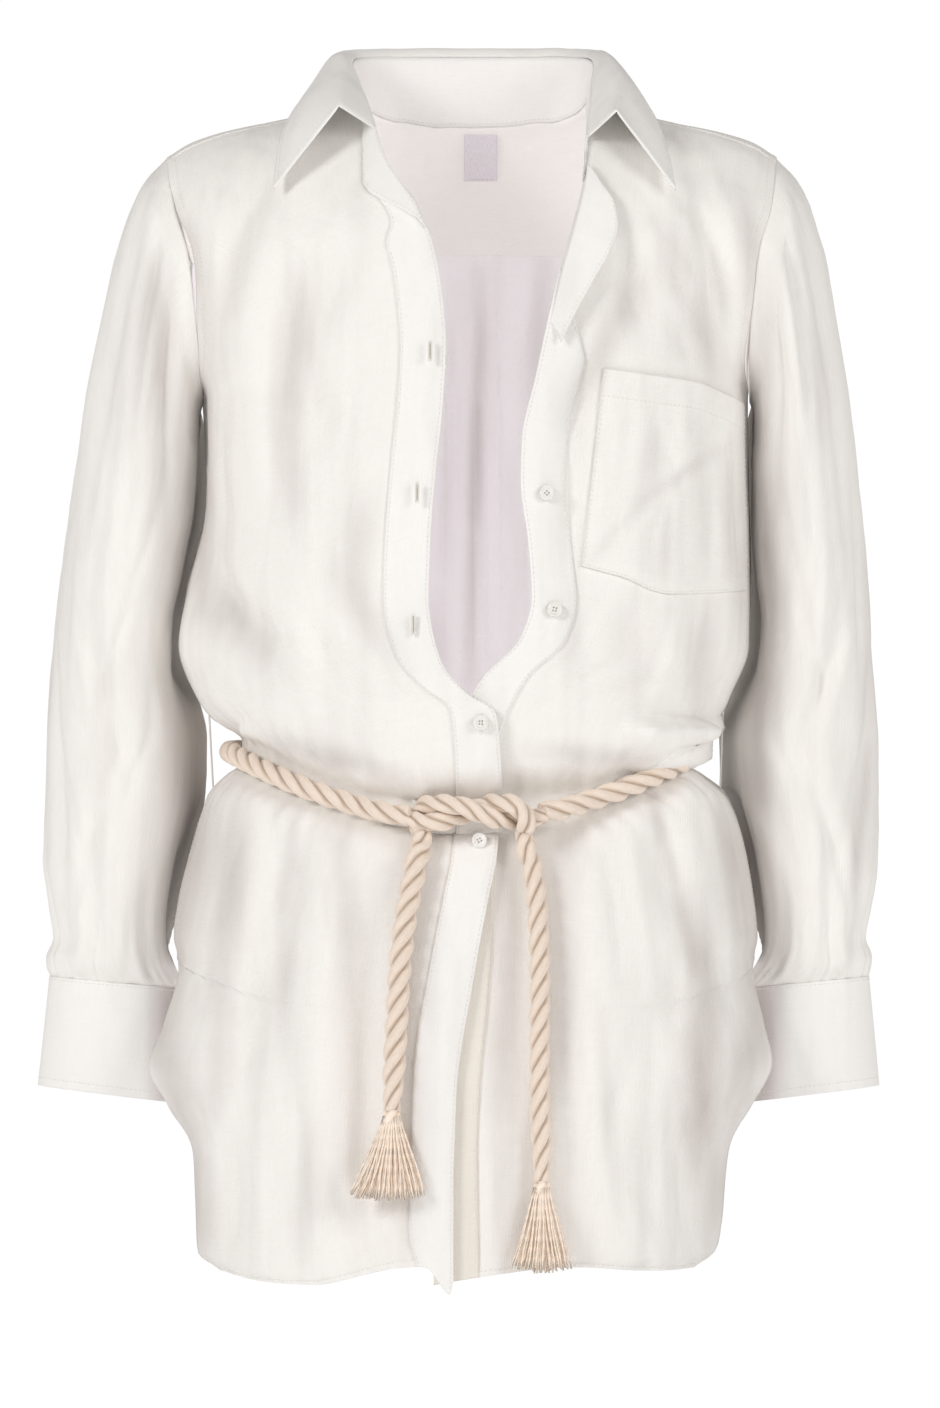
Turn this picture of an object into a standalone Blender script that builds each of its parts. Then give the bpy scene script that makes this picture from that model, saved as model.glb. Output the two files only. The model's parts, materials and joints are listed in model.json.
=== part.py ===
"""Long linen button-up shirt, worn open to the waist and tied with a twisted cotton rope.

The shirt is filled out as if worn. +Z is up, the front faces -Y and the wearer's left is +X.
The origin is on the middle of the shoulder line, where the wearer carries the shirt.
Sizes below are in millimetres, and meshes are written in metres.
"""

import math

import bmesh
import bpy
import numpy as np
from mathutils import Matrix, Vector

MM = 0.001

# Cloth and gaps
CLOTH = 1.4
FACED = 2.0
SEAM_GAP = 0.3
YOKE_SEAM_DOWN = 13.0
BAND_WIDTH = 29.0
LAYER = CLOTH + SEAM_GAP + 0.6
UNDERLAP_LIFT = 5.8
LAP_REACH = (-75.0, -40.0)

# Form of the body: how square a cross-section is, and how far the shoulder takes to round over
SQUARENESS = 2.35
SHOULDER_ROUND = 90.0
BODY_MIDDLE = 4.0

# Rope belt
ROPE = 14.0
WAIST_HEIGHT = -404.0
BELT_DIP = 44.0
BELT_RISE_BEHIND = 6.0
BELT_REACH = 145.0
BELT_SPREAD = 70.0
KNOT_ROOM = (6.0, 45.0, 5.0)

# Buttons
BUTTON = 9.6
BUTTON_THICK = 2.4

# Grid steps
ARM_STEPS = 10
BAND_COLUMNS = 3
FRONT_COLUMNS = 9
BACK_COLUMNS = 16


def table(columns, rows):
    """Named columns of a table written row by row."""
    return {name: np.array([row[i] for row in rows], float) for i, name in enumerate(columns.split())}


# The cross-sections: how far the cloth stands from the middle plane at each height
GIRTH = table(
    "height left right front back",
    (
        (30, 214, 216, 74, 84),
        (0, 214, 217, 80, 90),
        (-50, 211, 219, 92, 98),
        (-96, 200, 208, 102, 103),
        (-140, 186, 196, 110, 106),
        (-176, 169.5, 184.5, 115, 106),
        (-240, 168, 184.5, 121, 103),
        (-300, 181, 186, 124, 104),
        (-335, 187, 185, 125, 105),
        (-362, 178, 175, 122, 104),
        (-381, 164, 165, 116, 101),
        (-387, 155, 154, 109, 95),
        (-391.5, 148, 147, 102, 89.5),
        (-395.5, 145, 143, 98, 87),
        (-412.5, 145, 143, 98, 87),
        (-419, 153, 152, 102, 91),
        (-434, 167, 170, 107, 98),
        (-456, 175, 179, 111, 103),
        (-497, 186, 187, 118, 109),
        (-526, 190, 190, 122, 112),
        (-536, 188, 188, 123, 113),
        (-587, 208, 206, 127, 116),
        (-608, 216, 211, 128, 117),
        (-634, 202, 196, 129, 118),
        (-665, 186, 180, 130, 119),
        (-700, 185, 177, 131, 120),
        (-760, 186, 176, 133, 121),
    ),
)

# The shoulder ridge: its height by distance from the middle of the body
RIDGE = table(
    "out height",
    ((0, 26), (40, 25), (70, 21), (105, 12), (130, 6), (160, 0), (182, -7), (198, -17), (225, -40)),
)

# The armhole seam: how far out it lies at each height
ARMHOLE = table(
    "height left right",
    ((-17, 194, 202), (-51, 189, 198), (-79, 180, 190), (-109, 176, 186), (-145, 172, 184),
     (-176, 169.5, 184.5)),
)
ARMHOLE_TOP = -17.0
ARMPIT = -176.0

# The right front with the buttonholes: its free edge and its outer edge, level by level
RIGHT_FRONT = table(
    "edge_x edge_z side_x side_z",
    (
        (-67, 21, -194, -17),
        (-66, -8, -192, -36),
        (-66, -36, -187, -62),
        (-25, -65, -179, -85),
        (-15, -112, -175, -120),
        (-13, -142, -171.5, -150),
        (-15, -180, -169.5, -176),
        (-19, -218, -168, -222),
        (-23, -268, -173, -268),
        (-24, -305, -181.5, -304),
        (-16, -345, -186, -332),
        (2, -366, -180, -352),
        (19, -378, -172, -368),
        (22, -404, -161, -384),
        (23, -420, -155, -390),
        (23, -429, -148, -394),
        (23, -435, -145, -398),
        (23, -443, -145, -404),
        (23, -451, -145, -411),
        (22, -459, -154, -418),
        (20, -474, -165, -431),
        (15, -498, -176, -458),
        (9, -528, -186, -494),
        (3, -562, -190, -527),
        (-3, -596, -186, -546),
        (-6, -622, -197, -584),
        (-7, -650, -205, -608),
        (-8, -676, -193, -634),
        (-8, -702, -177, -664),
        (-8, -727, -175, -706),
        (-8, -746, -173, -729),
        (-10, -754, -160, -739),
    ),
)

# The left front with the buttons
LEFT_FRONT = table(
    "edge_x edge_z side_x side_z",
    (
        (79, 20, 202, -17),
        (79, -8, 200, -36),
        (76, -35, 196, -62),
        (70, -60, 189, -85),
        (61, -92, 186, -120),
        (54, -122, 184, -150),
        (46, -160, 184.5, -176),
        (37, -200, 184.5, -222),
        (36, -230, 185, -262),
        (41, -270, 186, -298),
        (43, -304, 185.5, -326),
        (36, -330, 180, -350),
        (10, -358, 173, -366),
        (-6, -392, 163, -384),
        (-9, -414, 155, -390),
        (-9, -427, 147, -394),
        (-9, -438, 143, -398),
        (-9, -445, 143, -404),
        (-9, -454, 143, -411),
        (-10, -461, 153, -418),
        (-10, -476, 168, -432),
        (-11, -500, 178, -456),
        (-12, -530, 186, -494),
        (-14, -564, 190, -525),
        (-16, -598, 187, -548),
        (-18, -624, 194, -582),
        (-19, -650, 199, -606),
        (-20, -676, 186, -634),
        (-20, -702, 171, -662),
        (-20, -727, 167, -706),
        (-20, -742, 163, -727),
        (-20, -748, 150, -738),
    ),
)
ARMPIT_LEVEL = 6
BELT_LEVELS = (13, 21)
SIDE_SHARE = 0.9989
SEAM_END_LEVEL = 24

# The back below the yoke: side edges level by level, and the height at the middle
BACK = table(
    "left_x left_z right_x right_z middle_z",
    (
        (-179, -84, 190, -84, -78),
        (-173, -134, 185, -134, -126),
        (-169.5, -176, 184.5, -176, -172),
        (-168, -222, 184.5, -222, -220),
        (-173, -268, 185, -262, -266),
        (-181.5, -304, 186, -298, -302),
        (-186, -332, 185.5, -326, -330),
        (-180, -352, 180, -350, -349),
        (-172, -368, 173, -366, -364),
        (-161, -384, 163, -384, -378),
        (-155, -390, 155, -390, -384),
        (-148, -394, 147, -394, -388),
        (-145, -398, 143, -398, -392),
        (-145, -404, 143, -404, -398),
        (-145, -411, 143, -411, -405),
        (-154, -418, 153, -418, -412),
        (-165, -431, 168, -432, -427),
        (-176, -458, 178, -456, -456),
        (-186, -494, 186, -494, -495),
        (-190, -527, 190, -525, -532),
        (-183, -550, 184, -550, -572),
        (-186, -584, 184, -584, -612),
        (-192, -612, 187, -612, -646),
        (-182, -640, 178, -640, -676),
        (-168, -670, 164, -668, -704),
        (-160, -704, 156, -700, -728),
        (-140, -732, 136, -730, -744),
    ),
)
BACK_ARMPIT_LEVEL = 2

# Soft troughs (negative) and ridges pressed or pulled into the cloth of the fronts
FRONT_FOLDS = table(
    "x0 z0 x1 z1 width depth",
    (
        (-131, -14, -158, -117, 9, -6),
        (-79, -78, -96, -140, 11, -4),
        (-112, -90, -125, -182, 13, -5),
        (-103, -146, -90, -200, 11, -4),
        (-187, -50, -176, -110, 10, -4),
        (-166, -280, -130, -355, 13, -6),
        (-144, -310, -125, -337, 10, -4),
        (-100, -325, -84, -355, 10, -4),
        (-60, -180, -70, -300, 22, 4),
        (-140, -130, -140, -260, 20, 4),
        (-120, -458, -148, -640, 15, -7),
        (-88, -470, -100, -700, 20, 4),
        (-152, -660, -157, -738, 9, -6),
        (-60, -480, -62, -720, 16, -4),
        (-28, -500, -24, -700, 12, 3),
        (150, -29, 181, -163, 9, -6),
        (103, -60, 110, -133, 11, -4),
        (138, -123, 148, -153, 10, -4),
        (162, -78, 160, -146, 9, -4),
        (80, -168, 66, -206, 8, -4),
        (69, -212, 68, -292, 7, -4),
        (108, -305, 106, -354, 11, -4),
        (153, -314, 153, -364, 11, -4),
        (130, -300, 130, -360, 16, 4),
        (120, -440, 142, -524, 12, -6),
        (137, -542, 138, -590, 9, -4),
        (139, -610, 149, -736, 9, -6),
        (98, -616, 96, -652, 11, -3),
        (80, -470, 92, -700, 22, 4),
        (40, -470, 30, -650, 13, -4),
    ),
)

# The same for the back: a box pleat runs down its middle
PLEAT_HALF = 15.0
BACK_FOLDS = table(
    "x0 z0 x1 z1 width depth",
    (
        (BODY_MIDDLE - PLEAT_HALF, -84, BODY_MIDDLE - PLEAT_HALF - 3, -330, 5, -4.5),
        (BODY_MIDDLE + PLEAT_HALF, -84, BODY_MIDDLE + PLEAT_HALF + 3, -330, 5, -4.5),
        (BODY_MIDDLE, -84, BODY_MIDDLE, -360, 14, 5),
        (-110, -110, -95, -300, 14, -6),
        (118, -104, 100, -290, 14, -6),
        (-60, -200, -80, -360, 16, -4),
        (70, -190, 88, -360, 16, -4),
        (-150, -200, -130, -350, 13, -4),
        (158, -210, 136, -350, 13, -4),
        (-110, -450, -122, -690, 17, -7),
        (-45, -450, -52, -730, 17, -6),
        (28, -450, 34, -730, 18, -6),
        (100, -450, 114, -690, 17, -7),
        (-80, -470, -86, -700, 16, 4),
        (66, -470, 74, -700, 16, 4),
    ),
)

# Small rises and falls of the front hem, by distance across
HEM_WAVE = table(
    "x rise",
    ((-170, 0), (-140, -3), (-98, -3), (-44, 11), (-25, 14), (-10, 0), (30, 0), (150, 0)),
)
HEM_FADE = 34.0

# The sleeve: outer and inner line of its outline (right arm), its depth in front and behind, its middle
SLEEVE = table(
    "outer_x outer_z inner_x inner_z front back middle",
    (
        (-209, -33, -173.5, -183, 61, 63, 1),
        (-217, -48, -174, -190, 62, 64, 2),
        (-227, -79, -174.5, -202, 62, 64, 3),
        (-237, -124, -175, -222, 61, 63, 4),
        (-245, -164, -176.5, -246, 59, 61, 6),
        (-256, -237, -184, -288, 56, 58, 8),
        (-263, -289, -191, -318, 54, 56, 9),
        (-268, -337, -192, -349, 52, 55, 10),
        (-273, -393, -181, -397, 50, 54, 11),
        (-274, -430, -182, -431, 49, 53, 12),
        (-275, -473, -190, -474, 47, 51, 12),
        (-271, -508, -194.5, -510, 45, 49, 12),
        (-268, -526, -195, -530, 43, 46, 12),
        (-272, -539, -191, -545, 38, 41, 12),
        (-270, -551, -184, -559, 30, 32, 12),
    ),
)
SLEEVE_MIRROR = table("height middle", ((0, 4), (-150, 2), (-400, -2.5), (-640, -4.5)))
LEFT_ARM_SHIFT = table(
    "height out",
    ((-176, 12), (-250, 10), (-290, 6), (-330, 2.5), (-380, 0), (-430, 2), (-475, 6), (-530, 8),
     (-548, 5), (-560, 0)),
)
CUFF_TOP = (-270.5, -551.7, -183.5, -559.7, 30.5, 32.5, 12.0)
CUFF_FOOT = (-278.0, -622.0, -181.0, -634.0, 32.0, 34.0, 12.0)
CUFF_OPENING = -32.0
CUFF_OVERLAP = 26.0

# Creases of the sleeve: place along it (0 to 1), angle round it, width, depth
SLEEVE_FOLDS = table(
    "start start_angle end end_angle width depth",
    (
        (0.02, 60, 0.30, 75, 9, -4),
        (0.05, 95, 0.36, 120, 10, -5),
        (0.10, 40, 0.42, 48, 8, -3),
        (0.48, 60, 0.66, 105, 9, -4),
        (0.54, 20, 0.76, 50, 8, -4),
        (0.60, 95, 0.78, 60, 8, -4),
        (0.72, 15, 0.98, 22, 6, -3),
        (0.70, 80, 0.98, 74, 8, -4),
        (0.50, -60, 0.70, -110, 9, -5),
        (0.05, -70, 0.38, -90, 10, -5),
        (0.70, -80, 0.98, -76, 8, -4),
        (0.75, 130, 0.98, 128, 7, -3),
    ),
)

# The collar from the end of its stand on the right front, round the back, to its left end:
# top of the stand, crest of the turned leaf and edge of the leaf, in equal steps along the neck seam
COLLAR = table(
    "top_x top_y top_z roll_x roll_y roll_z edge_x edge_y edge_z",
    (
        (-33, -94, -47, -40, -98, -40, -60, -98, -50),
        (-50, -78, -22, -62, -86, -14, -90, -92, -44),
        (-58, -60, 0, -84, -78, 15, -124, -80, -39),
        (-64, -40, 18, -90, -52, 31, -131, -58, -12),
        (-70, -17, 34, -94, -22, 46, -130, -22, 11),
        (-75, 8, 44, -95, 10, 57, -118, 14, 20),
        (-73, 36, 48, -89, 48, 59, -102, 60, 19),
        (-47, 61, 50, -54, 78, 58, -58, 95, 7),
        (6, 72, 50, 6, 89, 58, 6, 103, 2),
        (58, 61, 50, 66, 78, 58, 70, 95, 6),
        (83, 36, 48, 98, 48, 58, 112, 60, 17),
        (87, 8, 44, 107, 10, 55, 131, 14, 18),
        (85, -18, 34, 110, -21, 44, 139, -22, 8),
        (83, -40, 16, 110, -48, 28, 141, -56, -14),
        (79, -60, -6, 101, -76, 12, 136, -81, -40),
    ),
)
LEAF_START = 2.0
STAND_SEAT = 2.3

# The top of the left band, turned outward: fold line, outer edge and how far the edge stands off
TURNED_BAND = table(
    "edge_x edge_z rise",
    ((86, -38, 3.5), (95, -50, 5.5), (98, -66, 7), (92, -82, 7.5), (83, -98, 7.5), (72, -118, 6.5),
     (61, -140, 5)),
)
TURNED_LEVELS = (2.05, 5.2)
TURNED_ROLL = 5.0

# The chest pocket on the left front: top edge, and where its sides come down to
POCKET = table(
    "top_x top_z foot_x foot_z",
    (
        (89, -156, 75, -284),
        (108, -158.5, 101, -291),
        (128, -161, 131, -302),
        (148, -164, 158, -301),
        (166, -171, 172, -300),
        (180, -178, 182, -299),
    ),
)
POCKET_FOLDS = table(
    "x0 z0 x1 z1 width depth",
    (
        (166, -206, 112, -244, 6, -2.6),
        (112, -246, 80, -282, 7, -2.6),
        (140, -175, 132, -285, 5, 2.2),
        (156, -178, 152, -290, 5, -2),
        (168, -184, 166, -292, 5, 2.2),
        (118, -170, 108, -230, 6, 2),
    ),
)

# Rope tails, from the knot down: x and height of points along each
RIGHT_TAIL = ((-31.5, -480), (-33, -490), (-37, -510), (-41, -545), (-43, -580), (-45, -612), (-46, -636))
LEFT_TAIL = ((42, -478), (44, -490), (46, -510), (47, -550), (47, -590), (47, -630), (48, -660), (48, -682))
KNOT = (-33.0, 46.0, -444.0)
KNOT_RADIUS = 11.5
KNOT_LIFT = 20.5
TASSEL_STRANDS = 36
TAIL_LIFT = 10.5
LOOP_HEIGHTS = (-380.0, -428.0)
LOOP_RADIUS = 0.65
LABEL = (-1.0, 21.0, 0.5, -29.0)

LINEN = (0.90, 0.885, 0.855)
BRIGHT_LINEN = (0.94, 0.93, 0.92)
COTTON = (0.83, 0.70, 0.60)
SHELL_WHITE = (0.93, 0.93, 0.91)
SATIN = (0.72, 0.69, 0.72)


def smooth(knots, values, at):
    """A smooth curve without overshoot through the values at the knots, read at the places given."""
    knots = np.asarray(knots, float)
    values = np.asarray(values, float)
    if knots[0] > knots[-1]:
        knots, values = knots[::-1], values[::-1]
    at = np.clip(np.asarray(at, float), knots[0], knots[-1])
    step = np.diff(knots)
    slope = np.diff(values) / step
    tangent = np.zeros_like(values)
    same_way = slope[:-1] * slope[1:] > 0
    before, after = slope[:-1][same_way], slope[1:][same_way]
    near, far = 2 * step[1:] + step[:-1], step[1:] + 2 * step[:-1]
    near, far = near[same_way], far[same_way]
    tangent[1:-1][same_way] = (near + far) / (near / before + far / after)
    tangent[0], tangent[-1] = slope[0], slope[-1]
    i = np.clip(np.searchsorted(knots, at, side="right") - 1, 0, len(step) - 1)
    t = (at - knots[i]) / step[i]
    rise = (1 + 2 * t) * (1 - t) ** 2 * values[i] + t * t * (3 - 2 * t) * values[i + 1]
    return rise + t * (1 - t) * step[i] * ((1 - t) * tangent[i] - t * tangent[i + 1])


def column(rows, name, at):
    """A table's column read at a level, which may lie between two rows."""
    return smooth(np.arange(len(rows[name])), rows[name], at)


def belt_height(x, behind):
    """Height of the rope belt at a distance across the front or the back."""
    bow = 1 - np.minimum(np.abs(x) / BELT_REACH, 1.0) ** 2
    return WAIST_HEIGHT + np.where(behind, BELT_RISE_BEHIND, -BELT_DIP) * bow


def girth_level(x, z, behind):
    """The row of the cross-section table that applies at a place: it follows the belt's line."""
    belt = belt_height(x, behind)
    level = z - (belt - WAIST_HEIGHT) * np.exp(-(((z - belt) / BELT_SPREAD) ** 2))
    middle, reach, room = KNOT_ROOM
    room = np.where(behind, 0, room * np.exp(-(((x - middle) / reach) ** 2)))
    off = level - WAIST_HEIGHT
    kept = np.sign(off) * np.maximum(np.abs(off) - room, 0)
    eased = kept + (off - kept) * np.clip(np.abs(off) / 45, 0, 1) ** 2
    return np.where(np.abs(off) < 45, WAIST_HEIGHT + eased, level)


def half_width(x, z, behind):
    """Half width of the body at a height, on the side on which x lies."""
    level = girth_level(x, z, behind)
    reach = np.where(
        x < 0,
        smooth(GIRTH["height"], GIRTH["left"], level),
        smooth(GIRTH["height"], GIRTH["right"], level),
    )
    return reach * np.where(behind & (z < -540), 0.985, 1.0)


def ridge(x):
    """Height of the shoulder ridge at a distance across."""
    return smooth(RIDGE["out"], RIDGE["height"], np.abs(x - BODY_MIDDLE))


def drop_of(down):
    """Height lost and share of the depth reached after going a way down from the ridge."""
    turn = np.minimum(np.abs(down) / SHOULDER_ROUND, math.pi / 2)
    past = np.maximum(np.abs(down) - SHOULDER_ROUND * math.pi / 2, 0)
    return SHOULDER_ROUND * (1 - np.cos(turn)) + past, np.sin(turn)


def down_of(x, z):
    """The way down from the ridge to a height."""
    drop = np.maximum(ridge(x) - z, 0)
    turn = np.arccos(np.clip(1 - drop / SHOULDER_ROUND, 0, 1))
    return SHOULDER_ROUND * turn + np.maximum(drop - SHOULDER_ROUND, 0)


def body(angle, down):
    """A point of the body: angle round it from the middle of the front, and way down from the ridge."""
    behind = (np.cos(angle) < 0) ^ (down < 0)
    drop, share = drop_of(down)
    x, z = 180 * np.sin(angle), -drop
    for _ in range(8):
        x = half_width(x, z, behind) * np.sin(angle)
        z = ridge(x) - drop
    level = girth_level(x, z, behind)
    depth = np.where(
        behind,
        smooth(GIRTH["height"], GIRTH["back"], level),
        smooth(GIRTH["height"], GIRTH["front"], level),
    )
    across = np.abs(np.sin(angle)) ** SQUARENESS
    round_share = np.maximum(1 - across, 0) ** (1 / SQUARENESS)
    return np.stack([x, np.where(behind, 1, -1) * depth * round_share * share, z], -1)


def body_place(x, z, behind=False):
    """Angle and way down of the body's point at x and z."""
    x = np.asarray(x, float)
    z = np.asarray(z, float)
    angle = np.arcsin(np.clip(x / half_width(x, z, np.full(x.shape, behind)), -1, 1))
    return angle, down_of(x, z)


def folds(rows, x, z):
    """Sum of the soft troughs and ridges at x and z."""
    total = np.zeros(np.shape(x))
    for x0, z0, x1, z1, width, depth in zip(*(rows[c] for c in "x0 z0 x1 z1 width depth".split())):
        long = (x1 - x0) ** 2 + (z1 - z0) ** 2
        along = np.clip(((x - x0) * (x1 - x0) + (z - z0) * (z1 - z0)) / long, 0, 1)
        off = np.hypot(x - x0 - along * (x1 - x0), z - z0 - along * (z1 - z0))
        total += depth * np.exp(-((off / width) ** 2)) * (0.35 + 0.65 * np.sin(math.pi * along))
    return total


def on_body(angle, down, lift=0.0, extra=None):
    """Points of the creased cloth, moved out by a lift along the outward normal."""
    small = 0.002
    point = body(angle, down)
    round_way = body(angle + small, down) - body(angle - small, down)
    down_way = body(angle, down + small * 150) - body(angle, down - small * 150)
    normal = np.cross(down_way, round_way)
    normal /= np.maximum(np.linalg.norm(normal, axis=-1, keepdims=True), 1e-9)
    x, z = point[..., 0], point[..., 2]
    behind = point[..., 1] > 0
    rise = np.where(behind, folds(BACK_FOLDS, x, z), folds(FRONT_FOLDS, x, z))
    seam_calm = np.clip(np.abs(np.abs(np.abs(angle) - math.pi / 2)) / 0.22, 0, 1)
    rise = rise * seam_calm * np.clip((np.abs(down) - 14) / 40, 0, 1)
    belt_calm = np.clip(np.abs(z - belt_height(x, behind)) / 34 - 0.35, 0, 1)
    rise = rise * belt_calm
    if extra is not None:
        rise = rise + extra(x, z)
    return point + normal * (rise + lift)[..., None]


def front_rows(front, levels):
    """Angles and ways down at the free edge and the side of a front, for each level."""
    first = ARMPIT_LEVEL / ARM_STEPS
    along = (levels - first) * ARMPIT_LEVEL / (ARMPIT_LEVEL - first)
    along = np.where(levels < ARMPIT_LEVEL, along, levels)
    edge_a, edge_w = body_place(column(front, "edge_x", along), column(front, "edge_z", along))
    edge = edge_a, np.maximum(edge_w, YOKE_SEAM_DOWN)
    side_x = column(front, "side_x", levels)
    side_z = column(front, "side_z", levels)
    arm = np.minimum(levels / ARMPIT_LEVEL, 1.0)
    arm_z = (ARMHOLE_TOP + ARMPIT) / 2 + (ARMHOLE_TOP - ARMPIT) / 2 * np.cos(math.pi * arm)
    side = "left" if side_x[0] < 0 else "right"
    arm_x = np.sign(side_x[0]) * smooth(ARMHOLE["height"], ARMHOLE[side], arm_z)
    upper = levels <= ARMPIT_LEVEL
    return edge, body_place(np.where(upper, arm_x, side_x), np.where(upper, arm_z, side_z))


def front_point(front, levels, share, lift):
    """Points of a front: level down it, share across it from the free edge to the side."""
    levels, share = np.broadcast_arrays(np.asarray(levels, float), np.asarray(share, float))
    shape = levels.shape
    (edge_a, edge_w), (side_a, side_w) = front_rows(front, levels.ravel())
    share = share.ravel()
    level = levels.ravel()
    sealed = (level >= ARMPIT_LEVEL) & (level <= SEAM_END_LEVEL - 0.5)
    side_a = np.where(sealed, np.sign(side_a) * math.pi / 2, side_a)
    angle = edge_a + (side_a - edge_a) * share
    bow = (np.sin(angle) ** 2 - np.sin(edge_a) ** 2) / (np.sin(side_a) ** 2 - np.sin(edge_a) ** 2)
    first, last = BELT_LEVELS
    belted = np.clip(np.minimum(level - first + 2, last + 3 - level) / 2, 0, 1)
    mix = share + (np.clip(bow, 0, 1) - share) * belted
    down = edge_w + (side_w - edge_w) * mix
    if front is RIGHT_FRONT:
        x = body(angle, down)[..., 0]
        near_hem = np.clip(1 - (down_of(x, np.full(x.shape, -750.0)) - down) / HEM_FADE, 0, 1)
        down = down - smooth(HEM_WAVE["x"], HEM_WAVE["rise"], x) * near_hem
    if front is RIGHT_FRONT:
        lift = lift + lap_lift(body(angle, down)[..., 0]) * np.clip((level - 8.5) / 2, 0, 1)
    return on_body(angle, down, lift).reshape(shape + (3,))


def lap_lift(x):
    """How far the right front stands off the left one where they lap."""
    near = np.clip((x - LAP_REACH[0]) / (LAP_REACH[1] - LAP_REACH[0]), 0, 1)
    return UNDERLAP_LIFT * near * near * (3 - 2 * near)


def back_point(level, share, lift):
    """Points of the back: level down it, share across it from the left edge in view from the front."""
    level, share = np.broadcast_arrays(np.asarray(level, float), np.asarray(share, float))
    shape = level.shape
    level, share = level.ravel(), share.ravel()
    places = []
    for side in ("left", "right"):
        x = column(BACK, side + "_x", level)
        z = column(BACK, side + "_z", level)
        arm = np.minimum(level / BACK_ARMPIT_LEVEL, 1.0)
        begin = math.acos(np.clip((BACK["left_z"][0] - (ARMHOLE_TOP + ARMPIT) / 2) / 79.5, -1, 1))
        arm_z = (ARMHOLE_TOP + ARMPIT) / 2 + 79.5 * np.cos(begin + (math.pi - begin) * arm)
        arm_x = (-1 if side == "left" else 1) * smooth(ARMHOLE["height"], ARMHOLE[side], arm_z)
        upper = level <= BACK_ARMPIT_LEVEL
        angle, down = body_place(np.where(upper, arm_x, x), np.where(upper, arm_z, z), True)
        sealed = (level >= BACK_ARMPIT_LEVEL) & (level <= 19.5)
        angle = np.where(sealed, np.sign(x) * math.pi / 2, angle)
        places.append((angle, down))
    (left_a, left_w), (right_a, right_w) = places
    angle = left_a + (right_a - left_a) * share
    middle = down_of(np.full(level.shape, BODY_MIDDLE), column(BACK, "middle_z", level))
    bow = np.clip(np.cos(angle), 0, 1) ** 1.5
    end_bow = np.clip(np.cos(left_a), 0, 1) ** 1.5
    bow = np.clip((bow - end_bow) / np.maximum(1 - end_bow, 1e-6), 0, 1)
    down = (left_w + (right_w - left_w) * share) * (1 - bow) + middle * bow
    x = body(math.pi - angle, down)[..., 0]
    down = down + (down_of(x, yoke_seam(x)) - down) * np.clip(1 - level, 0, 1)
    return on_body(math.pi - angle, down, lift).reshape(shape + (3,))


def yoke_seam(x):
    """Height of the seam between yoke and back."""
    return -78 - 6 * (np.abs(x - 5.5) / 185) ** 2


def armhole(side, steps):
    """The armhole seam: steps from the shoulder, below zero to the front and above it to the back."""
    steps = np.asarray(steps, float)
    turn = math.pi * np.abs(steps) / ARM_STEPS
    z = (ARMHOLE_TOP + ARMPIT) / 2 + (ARMHOLE_TOP - ARMPIT) / 2 * np.cos(turn)
    x = (-1 if side == "left" else 1) * smooth(ARMHOLE["height"], ARMHOLE[side], z)
    angle, down = body_place(x, z, False)
    at_pit = np.abs(np.abs(steps) - ARM_STEPS) < 1e-6
    angle = np.where(at_pit, np.sign(x) * math.pi / 2, angle)
    down = np.where(at_pit, down, down * np.where(steps > 0, -1, 1))
    return angle, down


def yoke_point(station, share, lift):
    """Points of the yoke: station round the neck from front to front, share from neck to outer edge."""
    station, share = np.broadcast_arrays(np.asarray(station, float), np.asarray(share, float))
    shape = station.shape
    inner_a, inner_w, outer_a, outer_w = [], [], [], []
    back_step = math.acos((BACK["left_z"][0] + 96.5) / 79.5) / math.pi * ARM_STEPS
    arm_steps = np.concatenate([[-1, 0], np.linspace(0, back_step, 6)[1:]])
    neck = table(
        "x down",
        ((-67, YOKE_SEAM_DOWN), (-68, 0), (-67, -16), (-65, -28), (-60, -40), (-53, -49), (-44, -56)),
    )
    across = np.linspace(-179, 190, 11)[1:-1]
    for side in ("left", "right"):
        arm_a, arm_w = armhole(side, arm_steps)
        neck_x = neck["x"] if side == "left" else 2 * 6.0 - neck["x"]
        row = (body_place(neck_x, ridge(neck_x), False)[0], neck["down"], arm_a, arm_w)
        if side == "right":
            row = tuple(values[::-1] for values in row)
            mid_x = np.linspace(-34, 46, len(across))
            mid_w = -down_of(mid_x, 4 + 3 * (np.abs(mid_x - 6) / 40) ** 2)
            seam_z = yoke_seam(across)
            inner_a.extend(np.arcsin(mid_x / half_width(mid_x, np.zeros(len(mid_x)), mid_x > 1e9)))
            inner_w.extend(mid_w)
            outer_a.extend(body_place(across, seam_z, True)[0])
            outer_w.extend(-down_of(across, seam_z))
        inner_a.extend(row[0])
        inner_w.extend(row[1])
        outer_a.extend(row[2])
        outer_w.extend(row[3])
    count = len(inner_a)
    at = station.ravel()
    lines = [smooth(np.arange(count), values, at) for values in (inner_a, inner_w, outer_a, outer_w)]
    share = share.ravel()
    angle = lines[0] + (lines[2] - lines[0]) * share
    down = lines[1] + (lines[3] - lines[1]) * share
    return on_body(angle, down, lift).reshape(shape + (3,))


YOKE_STATIONS = 7 + 9 + 7


def grid_normals(grid, closed):
    """Unit normals of a grid of points."""
    if closed:
        across = np.roll(grid, -1, 1) - np.roll(grid, 1, 1)
    else:
        across = np.gradient(grid, axis=1)
    normal = np.cross(np.gradient(grid, axis=0), across)
    return normal / np.maximum(np.linalg.norm(normal, axis=-1, keepdims=True), 1e-9)


def cloth_material(name, colour, roughness):
    """A plain material with the piece's own colour and roughness."""
    material = bpy.data.materials.new(name)
    material.use_nodes = True
    shader = material.node_tree.nodes["Principled BSDF"]
    shader.inputs["Base Color"].default_value = (*colour, 1.0)
    shader.inputs["Roughness"].default_value = roughness
    shader.inputs["Metallic"].default_value = 0.0
    material.diffuse_color = (*colour, 1.0)
    return material


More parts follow.
